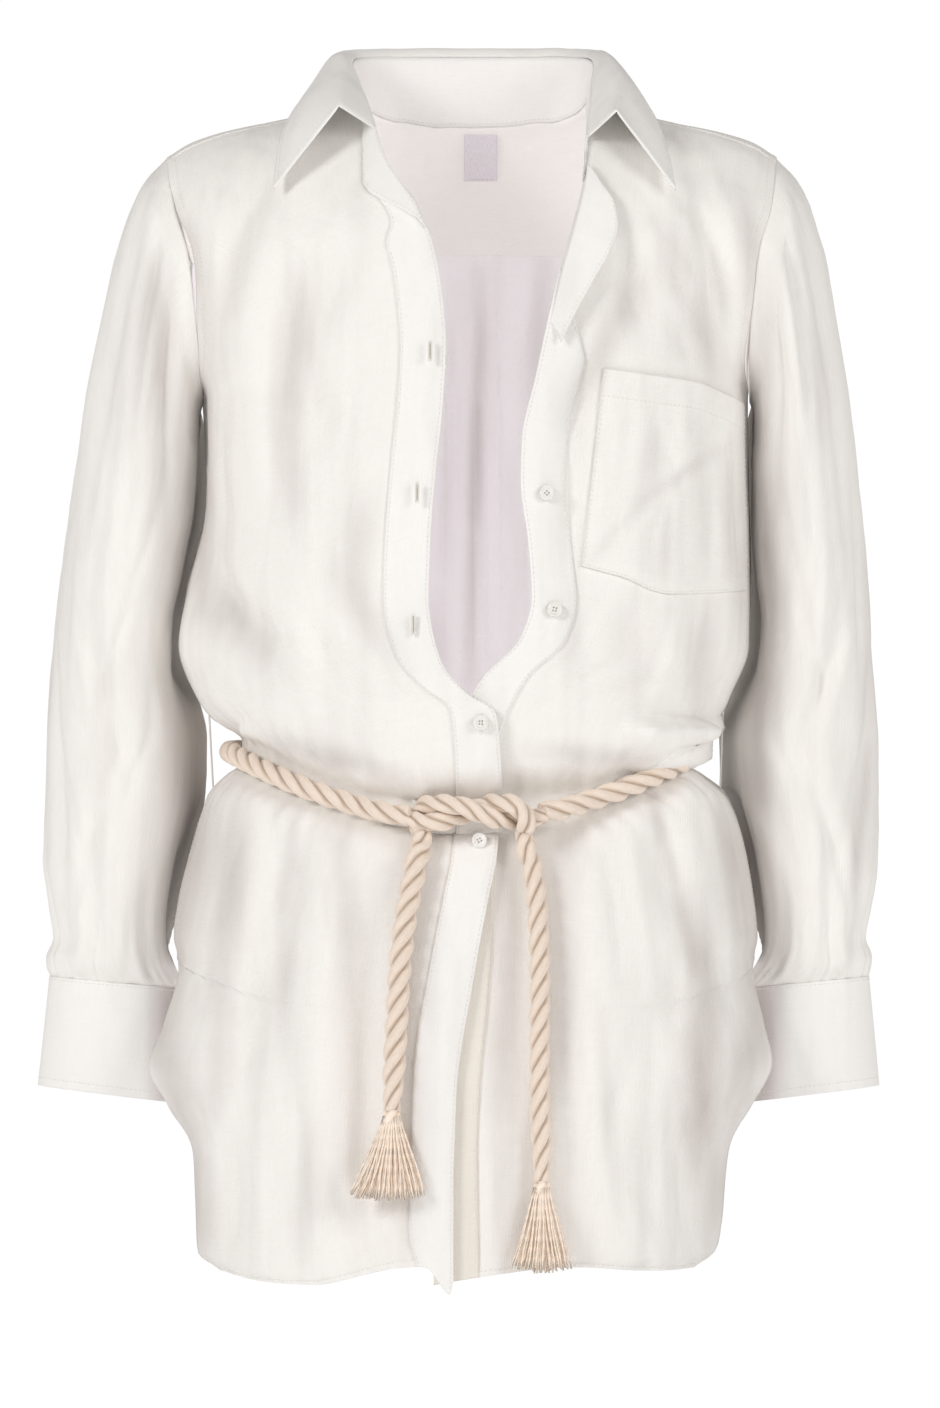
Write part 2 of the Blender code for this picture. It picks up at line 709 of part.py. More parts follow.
def add_object(name, mesh_data, colour, roughness=0.85):
    """Links a mesh or curve under a name with its own material."""
    piece = bpy.data.objects.new(name, mesh_data)
    bpy.context.scene.collection.objects.link(piece)
    mesh_data.materials.append(cloth_material(name + "_finish", colour, roughness))
    return piece


def wall(name, grid, thickness, colour, closed=False):
    """A closed sheet of even thickness about a grid of points given in millimetres."""
    rows, columns = grid.shape[:2]
    normal = grid_normals(grid, closed)
    faces_of = [grid + normal * thickness / 2, grid - normal * thickness / 2]
    shape = bmesh.new()
    sheets = [[[shape.verts.new(Vector(p) * MM) for p in row] for row in sheet] for sheet in faces_of]
    span = columns if closed else columns - 1
    for i in range(rows - 1):
        for j in range(span):
            k = (j + 1) % columns
            for sheet, turned in zip(sheets, (False, True)):
                corners = [sheet[i][j], sheet[i + 1][j], sheet[i + 1][k], sheet[i][k]]
                shape.faces.new(corners[::-1] if turned else corners)
    top, foot = sheets
    for j in range(span):
        k = (j + 1) % columns
        shape.faces.new([top[0][j], top[0][k], foot[0][k], foot[0][j]])
        shape.faces.new([top[-1][k], top[-1][j], foot[-1][j], foot[-1][k]])
    if not closed:
        for i in range(rows - 1):
            shape.faces.new([top[i + 1][0], top[i][0], foot[i][0], foot[i + 1][0]])
            shape.faces.new([top[i][-1], top[i + 1][-1], foot[i + 1][-1], foot[i][-1]])
    bmesh.ops.recalc_face_normals(shape, faces=shape.faces[:])
    mesh = bpy.data.meshes.new(name)
    shape.to_mesh(mesh)
    shape.free()
    mesh.shade_smooth()
    mesh.set_sharp_from_angle(angle=math.radians(60))
    return add_object(name, mesh, colour)


def add_fronts():
    """The two fronts, each in one piece from the shoulder to the tail."""
    for name, front in (("front_right", RIGHT_FRONT), ("front_left", LEFT_FRONT)):
        levels = front_levels()
        reach = band_shares(front, levels, BAND_WIDTH)[:, None]
        band = reach * np.linspace(0, 1, BAND_COLUMNS + 1)
        rest = reach + (SIDE_SHARE - reach) * np.linspace(0, 1, FRONT_COLUMNS + 1)[1:]
        grid = front_point(front, levels[:, None], np.concatenate([band, rest], 1), 0.0)
        grid[0] += (grid[1] - grid[0]) * 0.1
        wall(name, grid, CLOTH, LINEN)


def front_levels():
    """The levels at which the fronts and their bands have a row of points."""
    arm = np.linspace(0, ARMPIT_LEVEL, ARM_STEPS + 1)[1:]
    lower = np.arange(ARMPIT_LEVEL + 1, len(RIGHT_FRONT["edge_x"]))
    return np.sort(np.concatenate([arm, lower, [7.5, 8.5, 9.5, 10.5]]))


def add_back():
    """The back below the yoke, with its box pleat and rounded tail."""
    start = math.acos((BACK["left_z"][0] + 96.5) / 79.5) / math.pi * ARM_STEPS
    arm = np.concatenate([[start], np.arange(math.ceil(start), ARM_STEPS + 1)])
    arm = (arm - start) / (ARM_STEPS - start)
    lower = np.arange(BACK_ARMPIT_LEVEL + 1, len(BACK["left_x"]))
    extra = np.array([2.5, 3.5, 18.5])
    levels = np.sort(np.concatenate([arm * BACK_ARMPIT_LEVEL, lower, extra]))
    inset = 0.0006
    share = np.linspace(inset, 1.0 - inset, BACK_COLUMNS + 1)
    grid = back_point(levels[:, None], share[None, :], 0.0)
    grid[0] += (grid[1] - grid[0]) * 0.06
    wall("back", grid, CLOTH, LINEN)


def add_yoke():
    """The shoulder piece, carried round the back of the neck."""
    stations = np.arange(YOKE_STATIONS)
    share = np.linspace(0, 1, 9)
    grid = yoke_point(stations[:, None], share[None, :], 0.0)
    wall("yoke", grid, CLOTH, LINEN)


def neck_seam(stations, lift=0.0):
    """Points of the neck seam in equal steps, from the end of the right front's band to the left front."""
    right = front_point(RIGHT_FRONT, level_of_edge(np.linspace(3.0, 0, 16)), 0.0, lift)
    behind = yoke_point(np.linspace(0, YOKE_STATIONS - 1, 45), 0.0, lift)
    left = front_point(LEFT_FRONT, level_of_edge(np.linspace(0, 2.0, 12)), 0.0, lift)
    path = np.concatenate([right, behind[1:-1], left])
    steps = np.linalg.norm(np.diff(path, axis=0), axis=1)
    far = np.concatenate([[0], np.cumsum(steps)])
    at = np.asarray(stations, float) / (len(COLLAR["top_x"]) - 1) * far[-1]
    return np.stack([np.interp(at, far, path[:, i]) for i in range(3)], -1)


def level_of_edge(along):
    """The level of a front whose free edge lies at a row of its table above the armpit."""
    first = ARMPIT_LEVEL / ARM_STEPS
    return first + np.asarray(along, float) * (ARMPIT_LEVEL - first) / ARMPIT_LEVEL


def collar_line(name, stations):
    """Points along one of the collar's lines: top, roll or edge."""
    return np.stack([column(COLLAR, name + "_" + axis, stations) for axis in "xyz"], -1)


def add_collar():
    """The stand round the neck and the leaf turned over it."""
    stations = np.linspace(0, len(COLLAR["top_x"]) - 1, 25)
    foot, top = neck_seam(stations, STAND_SEAT), collar_line("top", stations)
    share = np.linspace(0, 1, 4)[None, :, None]
    stand = foot[:, None, :] * (1 - share) + top[:, None, :] * share
    wall("collar_stand", stand, FACED, LINEN)

    stations = np.linspace(LEAF_START, len(COLLAR["top_x"]) - 1, 23)
    top, roll, edge = (collar_line(name, stations) for name in ("top", "roll", "edge"))
    seam = neck_seam(stations)
    up = (top - seam) / np.linalg.norm(top - seam, axis=1, keepdims=True)
    out = (roll - top) / np.linalg.norm(roll - top, axis=1, keepdims=True)
    begin = top + up * (FACED + SEAM_GAP + 0.4) + out
    turn = np.array([0, 0.2, 0.4, 0.6, 0.8, 1.0])[None, :, None]
    crest = roll + (roll - (begin + edge) / 2) * 0.35
    leaf = begin[:, None] * (1 - turn) ** 2 + crest[:, None] * 2 * turn * (1 - turn) + edge[:, None] * turn**2
    wall("collar_leaf", leaf, FACED, LINEN)


def band_shares(front, levels, width):
    """How far across a front a band of a width reaches, at each level."""
    share = np.linspace(0, 0.6, 13)
    grid = front_point(front, levels[:, None], share[None, :], 0.0)
    steps = np.linalg.norm(np.diff(grid, axis=1), axis=2)
    far = np.concatenate([np.zeros((len(levels), 1)), steps.cumsum(1)], 1)
    return np.array([np.interp(width, row, share) for row in far])


def add_bands():
    """The bands down the free edges, the left one turned outward at its top."""
    for name, front, first in (("band_right", RIGHT_FRONT, 3.2), ("band_left", LEFT_FRONT, 5.5)):
        levels = front_levels()
        levels = levels[levels > first]
        reach = band_shares(front, levels, BAND_WIDTH)
        share = np.linspace(0, 1, BAND_COLUMNS + 1)
        grid = front_point(front, levels[:, None], reach[:, None] * share[None, :], LAYER)
        wall(name, grid, CLOTH, BRIGHT_LINEN)

    along = np.linspace(0, 1, 13)
    levels = TURNED_LEVELS[0] + along * (TURNED_LEVELS[1] - TURNED_LEVELS[0])
    at = along * (len(TURNED_BAND["rise"]) - 1)
    fold = front_point(LEFT_FRONT, levels, 0.0, 0.0)
    near = front_point(LEFT_FRONT, levels, 0.012, LAYER - 0.3 + TURNED_ROLL * 0.5 * np.sqrt(1 - along))
    angle, down = body_place(column(TURNED_BAND, "edge_x", at), column(TURNED_BAND, "edge_z", at))
    edge = on_body(angle, down, LAYER + column(TURNED_BAND, "rise", at))
    bulge = (near + edge) / 2 + (near - fold) * 0.5
    share = np.linspace(0, 1, 6)[None, :, None]
    grid = near[:, None] * (1 - share) ** 2 + bulge[:, None] * 2 * share * (1 - share)
    grid = grid + edge[:, None] * share**2
    wall("band_left_turned", grid, CLOTH, BRIGHT_LINEN)


def add_pocket():
    """The chest pocket, sewn flat on the left front."""
    across = np.linspace(0, len(POCKET["top_x"]) - 1, 12)
    way = np.linspace(0, 1, 11)[:, None]
    x = column(POCKET, "top_x", across) * (1 - way) + column(POCKET, "foot_x", across) * way
    z = column(POCKET, "top_z", across) * (1 - way) + column(POCKET, "foot_z", across) * way
    angle, down = body_place(x, z)
    grid = on_body(angle, down, LAYER + 0.7, lambda px, pz: np.maximum(folds(POCKET_FOLDS, px, pz), -0.4))
    wall("pocket", grid, CLOTH, LINEN)


def add_label():
    """The blank woven label inside the yoke."""
    x = np.linspace(LABEL[0], LABEL[1], 4)[None, :]
    z = np.linspace(LABEL[2], LABEL[3], 4)[:, None]
    angle, down = body_place(x + 0 * z, z + 0 * x, False)
    wall("neck_label", on_body(angle, -down, -(CLOTH + SEAM_GAP + 0.2)), 1.0, SATIN)


def sleeve_rings(side, turns):
    """Rings of a sleeve at every row of its table, at the turns round it (0 is its outer line)."""
    turns = np.asarray(turns, float) % (2 * math.pi)
    front = turns <= math.pi
    steps = np.where(front, turns, 2 * math.pi - turns) / math.pi * ARM_STEPS
    out = -1 if side == "left" else 1
    angle, down = armhole(side, steps * np.where(front, -1, 1))
    first = body(angle, down)
    first[:, 0] += out * (0.8 + 0.9 * (1 - np.cos(turns)))
    rings = [first]
    for i in range(len(SLEEVE["front"])):
        rings.append(ring_points(side, [SLEEVE[c][i] for c in SLEEVE], turns))
    return np.stack(rings)


def ring_points(side, row, turns):
    """One ring of an arm from its outer and inner points, half depths and middle."""
    outer = np.array([row[0], row[1]])
    inner = np.array([row[2], row[3]])
    if side == "right":
        for point in (outer, inner):
            point[0] = 2 * smooth(SLEEVE_MIRROR["height"], SLEEVE_MIRROR["middle"], point[1]) - point[0]
        inner[0] += smooth(LEFT_ARM_SHIFT["height"], LEFT_ARM_SHIFT["out"], inner[1])
    centre, reach = (outer + inner) / 2, (outer - inner) / 2
    flat = centre + reach * np.cos(turns)[:, None]
    y = row[6] - np.sin(turns) * np.where(np.sin(turns) > 0, row[4], row[5])
    return np.stack([flat[:, 0], y, flat[:, 1]], -1)


def sleeve_point(side, places, turns, lift=0.0):
    """Points of a creased sleeve: places along it from 0 to 1, turns round it."""
    rings = sleeve_rings(side, turns)
    at = np.asarray(places, float) * (len(rings) - 1)
    grid = np.stack(
        [np.stack([smooth(np.arange(len(rings)), rings[:, j, i], at) for i in range(3)], -1)
         for j in range(rings.shape[1])], 1)
    normal = grid_normals(grid, True)
    centre = grid.mean(1, keepdims=True)
    normal *= np.sign((normal * (grid - centre)).sum(-1, keepdims=True))
    degrees = np.degrees((np.asarray(turns, float) + math.pi) % (2 * math.pi) - math.pi)[None, :]
    place = np.asarray(places, float)[:, None]
    rise = np.zeros(grid.shape[:2])
    long = 640.0
    for row in zip(*(SLEEVE_FOLDS[c] for c in SLEEVE_FOLDS)):
        start, start_angle, end, end_angle, width, depth = row
        x0, y0, x1, y1 = start * long, start_angle * 0.9, end * long, end_angle * 0.9
        px, py = place * long, degrees * 0.9
        span = (x1 - x0) ** 2 + (y1 - y0) ** 2
        along = np.clip(((px - x0) * (x1 - x0) + (py - y0) * (y1 - y0)) / span, 0, 1)
        off = np.hypot(px - x0 - along * (x1 - x0), py - y0 - along * (y1 - y0))
        rise += depth * np.exp(-((off / width) ** 2)) * np.sin(math.pi * (0.1 + 0.8 * along))
    rise *= np.clip(place / 0.05, 0, 1) * np.clip((1 - place) / 0.03, 0, 1)
    return grid + normal * (rise + lift)[..., None]


def cuff_point(side, share, turns, lift=0.0):
    """Points of a cuff: share down it, turns round it, moved out by a lift."""
    rings = []
    for part in np.asarray(share, float):
        row = [a + (b - a) * part for a, b in zip(CUFF_TOP, CUFF_FOOT)]
        points = ring_points(side, row, turns)
        middle = ring_points(side, row, np.linspace(0, 2 * math.pi, 12, endpoint=False)).mean(0)
        out = points - middle
        out[:, 2] = 0
        out /= np.linalg.norm(out, axis=1, keepdims=True)
        rings.append(points + out * np.broadcast_to(lift, (len(turns),))[:, None])
    return np.stack(rings)


def add_sleeves():
    """Sleeves, with the strip beside each slit, and cuffs whose ends lap and button."""
    for side, worn in (("left", "right"), ("right", "left")):
        turns = np.linspace(0, 2 * math.pi, 2 * ARM_STEPS, endpoint=False)
        places = np.concatenate([[0, 0.03], np.linspace(0.0667, 1, 16)])
        wall("sleeve_" + worn, sleeve_point(side, places, turns), CLOTH, LINEN, closed=True)

        round_way = np.radians(CUFF_OPENING - CUFF_OVERLAP + np.linspace(0, 360 + CUFF_OVERLAP, 28))
        lapped = np.clip((np.degrees(round_way) - (CUFF_OPENING - CUFF_OVERLAP) - 338) / 18, 0, 1)
        lift = (FACED + SEAM_GAP + 0.5) * lapped * lapped * (3 - 2 * lapped)
        wall("cuff_" + worn, cuff_point(side, np.linspace(0, 1, 3), round_way, lift), FACED, BRIGHT_LINEN)

        slit = np.radians(CUFF_OPENING + np.array([-14.0, -5.0, 4.0, 13.0]))
        around = np.concatenate([turns[1:20], slit + 2 * math.pi])
        strip = sleeve_point(side, np.linspace(0.80, 0.985, 8), around, 0.0)
        normal = grid_normals(strip, False)
        centre = strip.mean(1, keepdims=True)
        normal *= np.sign((normal * (strip - centre)).sum(-1, keepdims=True))
        wall("sleeve_band_" + worn, (strip + normal * (LAYER + 0.5))[:, -4:], CLOTH, LINEN)

        button_turn = np.radians(CUFF_OPENING - 12.0)
        seat = cuff_point(side, [0.5], np.array([button_turn]), FACED * 1.5 + 2 * SEAM_GAP + 1.3)[0, 0]
        middle = cuff_point(side, [0.5], turns)[0].mean(0)
        facing = seat - middle
        facing[2] = 0
        add_button("button_cuff_" + worn, seat, facing)


def add_button(name, seat, facing):
    """A flat shirt button with a rounded rim, its underside at the seat."""
    facing = Vector(facing).normalized()
    shape = bmesh.new()
    bmesh.ops.create_cone(
        shape, cap_ends=True, segments=14, radius1=BUTTON / 2 * MM, radius2=BUTTON / 2 * MM,
        depth=BUTTON_THICK * MM)
    rim = [e for e in shape.edges if e.is_manifold and abs(e.verts[0].co.z - e.verts[1].co.z) < 1e-7]
    bmesh.ops.bevel(shape, geom=rim, offset=0.5 * MM, segments=1, affect="EDGES")
    turn = facing.to_track_quat("Z", "Y").to_matrix().to_4x4()
    place = Matrix.Translation((Vector(seat) + facing * BUTTON_THICK / 2) * MM)
    bmesh.ops.transform(shape, matrix=place @ turn, verts=shape.verts)
    mesh = bpy.data.meshes.new(name)
    shape.to_mesh(mesh)
    shape.free()
    mesh.shade_smooth()
    mesh.set_sharp_from_angle(angle=math.radians(40))
    add_object(name, mesh, SHELL_WHITE, 0.25)


def add_front_buttons():
    """Two buttons fastened through the right band, and the open ones on the left band."""
    fastened = UNDERLAP_LIFT + LAYER + CLOTH / 2 + SEAM_GAP
    loose = LAYER + CLOTH / 2 + SEAM_GAP + 0.4
    ring = np.linspace(0, 2 * math.pi, 12, endpoint=False)
    for name, x, z, gap in (("button_1", 10, -385, 0.2), ("button_2", 9, -461, 1.0)):
        angle, down = body_place(x + BUTTON / 2 * np.sin(ring), z + BUTTON / 2 * np.cos(ring))
        ahead = on_body(angle, down, fastened)[:, 1].min() - gap
        add_button(name, (x, ahead, z), (0, -1, 0))
    for name, x, z, lift in (("button_3", 52, -237, loose), ("button_4", 57, -312, loose)):
        angle, down = body_place(np.array([x]), np.array([z]))
        seat = on_body(angle, down, lift)[0]
        ahead = on_body(angle, down, lift + 5)[0]
        add_button(name, seat, ahead - seat)


def add_tube(name, path, radius, colour, sides=3):
    """A round cord or thread along a path in millimetres, with closed ends."""
    curve = bpy.data.curves.new(name, "CURVE")
    curve.dimensions = "3D"
    curve.bevel_depth = radius * MM
    curve.bevel_resolution = sides
    curve.use_fill_caps = True
    spline = curve.splines.new("POLY")
    spline.points.add(len(path) - 1)
    for point, place in zip(spline.points, path):
        point.co = (*(Vector(place) * MM), 1.0)
    return add_object(name, curve, colour)


def belt_line():
    """The middle of the rope round the waist, from the knot's left end round the back to its right end."""
    limits = []
    for x in (KNOT[1] + 0.5, KNOT[0] - 0.5):
        limits.append(float(body_place([x], belt_height(np.array([x]), False))[0][0]))
    angle = np.linspace(limits[0], limits[1] + 2 * math.pi, 56)
    behind = np.cos(angle) < 0
    x = 145 * np.sin(angle)
    for _ in range(12):
        x = half_width(x, belt_height(x, behind), behind) * np.sin(angle)
    down = down_of(x, belt_height(x, behind))
    lead = np.where(behind, 1.0, np.clip((np.abs(x - 6) - 40) / 40, 0, 1))
    lead = lead * lead * (3 - 2 * lead)
    seat = CLOTH / 2 + SEAM_GAP + ROPE / 2
    lap = np.where(behind | (x > 0), 0, lap_lift(x))
    lift = KNOT_LIFT * (1 - lead) + (seat + 0.6 + lap) * lead
    return on_body(angle, down, lift)


def tail_line(rows):
    """The middle of a hanging rope tail that rests against the front."""
    x = smooth(np.arange(len(rows)), [r[0] for r in rows], np.linspace(0, len(rows) - 1, 16))
    z = smooth(np.arange(len(rows)), [r[1] for r in rows], np.linspace(0, len(rows) - 1, 16))
    angle, down = body_place(x, z)
    lap = np.where(x < 0, lap_lift(x), 0)
    return on_body(angle, down, TAIL_LIFT + lap)


def add_belt():
    """The rope round the waist, its knot, tails, tassels and the two thread loops that carry it."""
    waist = belt_line()
    add_tube("belt_waist", waist, ROPE / 2, COTTON, sides=2)

    ends = np.array([waist[-1], waist[0]])
    centre = np.linspace(0, 1, 11)[:, None]
    path = ends[0] * (1 - centre) + ends[1] * centre
    path[:, 1] -= 4 * np.sin(math.pi * centre[:, 0])
    radius = 7.2 + (KNOT_RADIUS - 7.2) * np.sin(math.pi * np.clip(centre[:, 0], 0.0, 1)) ** 0.45
    knot_line = path - np.array([0, 0, 1]) * radius[:, None]
    shape = bmesh.new()
    rings = []
    for i, point in enumerate(path):
        ahead = path[min(i + 1, len(path) - 1)] - path[max(i - 1, 0)]
        ahead = Vector(ahead).normalized()
        out = Vector((0, -1, 0))
        up = ahead.cross(out).normalized()
        shrink = 0.65 if i in (0, len(path) - 1) else 1.0
        inset = ahead * (2.2 if i == 0 else -2.2 if i == len(path) - 1 else 0)
        centre, size = Vector(point) + inset, radius[i] * shrink
        rings.append([
            shape.verts.new((centre + (out * math.cos(t) + up * math.sin(t)) * size) * MM)
            for t in np.linspace(0, 2 * math.pi, 12, endpoint=False)])
    for a, b in zip(rings, rings[1:]):
        for j in range(12):
            shape.faces.new([a[j], a[(j + 1) % 12], b[(j + 1) % 12], b[j]])
    shape.faces.new(rings[0])
    shape.faces.new(rings[-1])
    bmesh.ops.recalc_face_normals(shape, faces=shape.faces[:])
    mesh = bpy.data.meshes.new("belt_knot")
    shape.to_mesh(mesh)
    shape.free()
    mesh.shade_smooth()
    add_object("belt_knot", mesh, COTTON)

    for worn, rows, half, spread, length in (
        ("right", RIGHT_TAIL, 7.5, 25, 58),
        ("left", LEFT_TAIL, 6.8, 20, 58),
    ):
        begin = np.array([np.interp(rows[0][0] * 0.9, knot_line[:, 0], column) for column in knot_line.T])
        under = np.interp(begin[0] + np.linspace(-half, half, 5), knot_line[:, 0], knot_line[:, 2])
        begin[2] = under.min() - SEAM_GAP
        path = np.concatenate([[begin, begin + (0.3, 0.6, -8)], tail_line(rows)])
        add_tube("belt_tail_" + worn, path, half, COTTON, sides=2)
        add_tassel("tassel_" + worn, path[-1], path[-1] - path[-2], spread, length)

    for worn, out in (("right", -1.0), ("left", 1.0)):
        heights = np.array(LOOP_HEIGHTS)
        stand = half_width(np.full(2, out * 160), heights, np.array([False, False]))
        stand = stand + CLOTH / 2 + SEAM_GAP + 1.1
        x = out * np.interp(np.linspace(0, 1, 5), [0, 1], stand)
        path = [(a, 0.0, b) for a, b in zip(x, np.linspace(*LOOP_HEIGHTS, 5))]
        add_tube("belt_loop_" + worn, path, LOOP_RADIUS, LINEN, sides=2)


def add_tassel(name, top, heading, spread, length):
    """Loose strands of the untwisted rope below a bound head, fused to it at their roots."""
    heading = Vector(heading).normalized()
    begin = Vector(top) + heading * (SEAM_GAP + 0.3)
    head = bmesh.new()
    profile = ((0.0, 5.2), (3.0, 7.0), (8.0, 7.6), (12.0, 7.9))
    sides = 14
    rings = []
    for along, radius in profile:
        centre = begin + heading * along
        rings.append([
            head.verts.new((centre + Vector((math.cos(t), math.sin(t) * 0.9, 0)) * radius) * MM)
            for t in np.linspace(0, 2 * math.pi, sides, endpoint=False)])
    for a, b in zip(rings, rings[1:]):
        for j in range(sides):
            head.faces.new([a[j], b[j], b[(j + 1) % sides], a[(j + 1) % sides]])
    head.faces.new(rings[0])
    head.faces.new(rings[-1][::-1])
    bmesh.ops.recalc_face_normals(head, faces=head.faces[:])
    head_mesh = bpy.data.meshes.new(name)
    head.to_mesh(head_mesh)
    head.free()
    tassel = add_object(name, head_mesh, COTTON)

    strands = bmesh.new()
    golden = math.pi * (3 - math.sqrt(5))
    for i in range(TASSEL_STRANDS):
        share = math.sqrt((i + 0.5) / TASSEL_STRANDS)
        turn = i * golden
        root = heading * 8.0 + Vector((math.cos(turn) * share * 6.3, math.sin(turn) * share * 5.6, 0))
        reach = length - 3.5 * math.sin(i * 2.4) ** 2 - 3 * share
        flare = Vector((math.cos(turn) * share * spread, math.sin(turn) * share * 7.5 - 1.5, 0))
        tip = heading * reach + flare
        waist = root.lerp(tip, 0.5) + Vector((math.cos(turn) * share * 3.0, 0, 0))
        thick = (0.62, 0.6, 0.5)
        rings = []
        for place, size in zip((root, waist, tip), thick):
            rings.append([
                strands.verts.new((begin + place + Vector((math.cos(t), math.sin(t), 0)) * size) * MM)
                for t in (turn, turn + 2.0944, turn + 4.1888)])
        for a, b in zip(rings, rings[1:]):
            for j in range(3):
                strands.faces.new([a[j], b[j], b[(j + 1) % 3], a[(j + 1) % 3]])
        strands.faces.new(rings[0])
        strands.faces.new(rings[-1][::-1])
    bmesh.ops.recalc_face_normals(strands, faces=strands.faces[:])
    strand_mesh = bpy.data.meshes.new(name + "_strands")
    strands.to_mesh(strand_mesh)
    strands.free()
    cutter = bpy.data.objects.new(name + "_strands", strand_mesh)
    bpy.context.scene.collection.objects.link(cutter)
    cutter.hide_render = True
    cutter.display_type = "WIRE"
    join = tassel.modifiers.new("strands", "BOOLEAN")
    join.operation = "UNION"
    join.object = cutter


def main():
    for old in list(bpy.data.objects):
        bpy.data.objects.remove(old, do_unlink=True)
    add_fronts()
    add_back()
    add_yoke()
    add_collar()
    add_bands()
    add_pocket()
    add_label()
    add_sleeves()
    add_front_buttons()
    add_belt()


main()
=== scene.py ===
"""Long linen shirt, filled out as if worn, open to the waist and tied with a twisted cotton rope.

+Z is up, the front faces -Y and the wearer's left is +X. Sizes are in millimetres and the
meshes are written in metres.
"""

import json
import math

import bmesh
import bpy
import numpy as np
from mathutils import Matrix, Vector

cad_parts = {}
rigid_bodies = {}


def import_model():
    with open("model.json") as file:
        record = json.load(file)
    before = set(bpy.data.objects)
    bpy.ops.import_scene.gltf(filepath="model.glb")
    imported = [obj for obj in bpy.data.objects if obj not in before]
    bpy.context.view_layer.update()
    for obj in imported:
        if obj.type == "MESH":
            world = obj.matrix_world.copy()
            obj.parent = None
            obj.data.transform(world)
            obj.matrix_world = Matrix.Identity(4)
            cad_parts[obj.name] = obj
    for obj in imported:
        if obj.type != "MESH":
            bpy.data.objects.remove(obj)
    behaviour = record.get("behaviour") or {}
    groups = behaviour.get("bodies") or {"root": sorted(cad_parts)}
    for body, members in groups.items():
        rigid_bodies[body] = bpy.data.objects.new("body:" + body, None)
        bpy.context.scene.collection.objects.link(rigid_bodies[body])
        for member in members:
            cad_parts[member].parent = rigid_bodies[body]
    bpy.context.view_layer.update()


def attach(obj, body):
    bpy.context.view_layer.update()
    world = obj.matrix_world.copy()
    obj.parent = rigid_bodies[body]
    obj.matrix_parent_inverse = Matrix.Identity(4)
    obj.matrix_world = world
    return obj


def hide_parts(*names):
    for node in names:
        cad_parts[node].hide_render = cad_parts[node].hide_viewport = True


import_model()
bpy.ops.object.select_all(action="DESELECT")


# Stage, light and camera
# A white studio with a pale floor disc, one large soft light from the upper left front, a weaker one
# from the right, and a level camera that takes in the whole shirt.


def material_of(name, **values):
    """A new material with the named sockets of its skin set, that skin and the way to link its nodes."""
    material = bpy.data.materials.new(name)
    material.use_nodes = True
    skin = material.node_tree.nodes["Principled BSDF"]
    for key, value in values.items():
        skin.inputs[key.replace("_", " ")].default_value = value
    return material, skin, material.node_tree.links.new


def nothing_picked():
    """Leaves no object selected."""
    bpy.ops.object.select_all(action="DESELECT")


world = bpy.data.worlds.new("studio_white")
bpy.context.scene.world = world
world.use_nodes = True
background = world.node_tree.nodes["Background"]
link = world.node_tree.links.new
seen = world.node_tree.nodes.new("ShaderNodeLightPath")
warmth = world.node_tree.nodes.new("ShaderNodeMix")
warmth.data_type = "RGBA"
warmth.inputs["A"].default_value = (1.0, 0.955, 0.915, 1.0)
warmth.inputs["B"].default_value = (1.0, 1.0, 1.0, 1.0)
link(seen.outputs["Is Camera Ray"], warmth.inputs["Factor"])
link(warmth.outputs["Result"], background.inputs["Color"])
glow = world.node_tree.nodes.new("ShaderNodeMath")
glow.operation = "MULTIPLY_ADD"
glow.inputs[1].default_value = 0.66
glow.inputs[2].default_value = 0.36
link(seen.outputs["Is Camera Ray"], glow.inputs[0])
link(glow.outputs["Value"], background.inputs["Strength"])

bpy.ops.mesh.primitive_circle_add(vertices=96, radius=5.0, fill_type="NGON", location=(0, 0, -1.2))
floor = bpy.context.active_object
floor.name = "studio_floor"
bpy.ops.object.transform_apply(location=True, rotation=True, scale=True)
floor.data.materials.append(material_of(
    "studio_paper", Base_Color=(0.92, 0.92, 0.92, 1), Roughness=0.9, Emission_Color=(1, 1, 1, 1),
    Emission_Strength=0.3)[0])
nothing_picked()

for name, place, size, power in (
    ("key_light", (-2.9, -2.9, 1.4), 1.3, 70.0),
    ("fill_light", (2.9, -2.7, 0.9), 1.8, 50.0),
):
    bpy.ops.object.light_add(type="AREA", location=place)
    lamp = bpy.context.active_object
    lamp.name = name
    lamp.data.size = size
    lamp.data.energy = power
    lamp.rotation_euler = (Vector((0, 0, -0.35)) - Vector(place)).to_track_quat("-Z", "Y").to_euler()

CAMERA_AWAY = 12.0
FRAME_TALL = 0.9152
bpy.ops.object.camera_add(location=(0.003, -CAMERA_AWAY - 0.045, -0.373), rotation=(math.pi / 2, 0, 0))
camera = bpy.context.active_object
camera.name = "studio_camera"
camera.data.sensor_width = 36.0
camera.data.lens = 36.0 * CAMERA_AWAY / FRAME_TALL
bpy.context.scene.camera = camera
bpy.context.scene.view_settings.view_transform = "Standard"
nothing_picked()


# Rope belt
# A 14 mm cotton rope of three strands, laid right-handed, tied at the front in a half knot.
# Both ends hang down and are bound, and below the binding the strands are combed out.

MM = 0.001
CLOTH = 1.4
LAYER = 2.3
SEAM_GAP = 0.3
UNDERLAP_LIFT = 5.8
LAP_REACH = (-75.0, -40.0)
SQUARENESS = 2.35
SHOULDER_ROUND = 90.0
BODY_MIDDLE = 4.0
ROPE = 14.0
ROPE_LAY = 46.0
WAIST_HEIGHT = -404.0
BELT_DIP = 44.0
BELT_RISE_BEHIND = 6.0
BELT_REACH = 145.0
BELT_SPREAD = 70.0
KNOT_ROOM = (6.0, 45.0, 5.0)
KNOT = (-33.0, 46.0, -444.0)
KNOT_LIFT = 20.5
TAIL_LIFT = 10.5


def table(columns, rows):
    """Named columns of a table written row by row."""
    return {name: np.array([row[i] for row in rows], float) for i, name in enumerate(columns.split())}


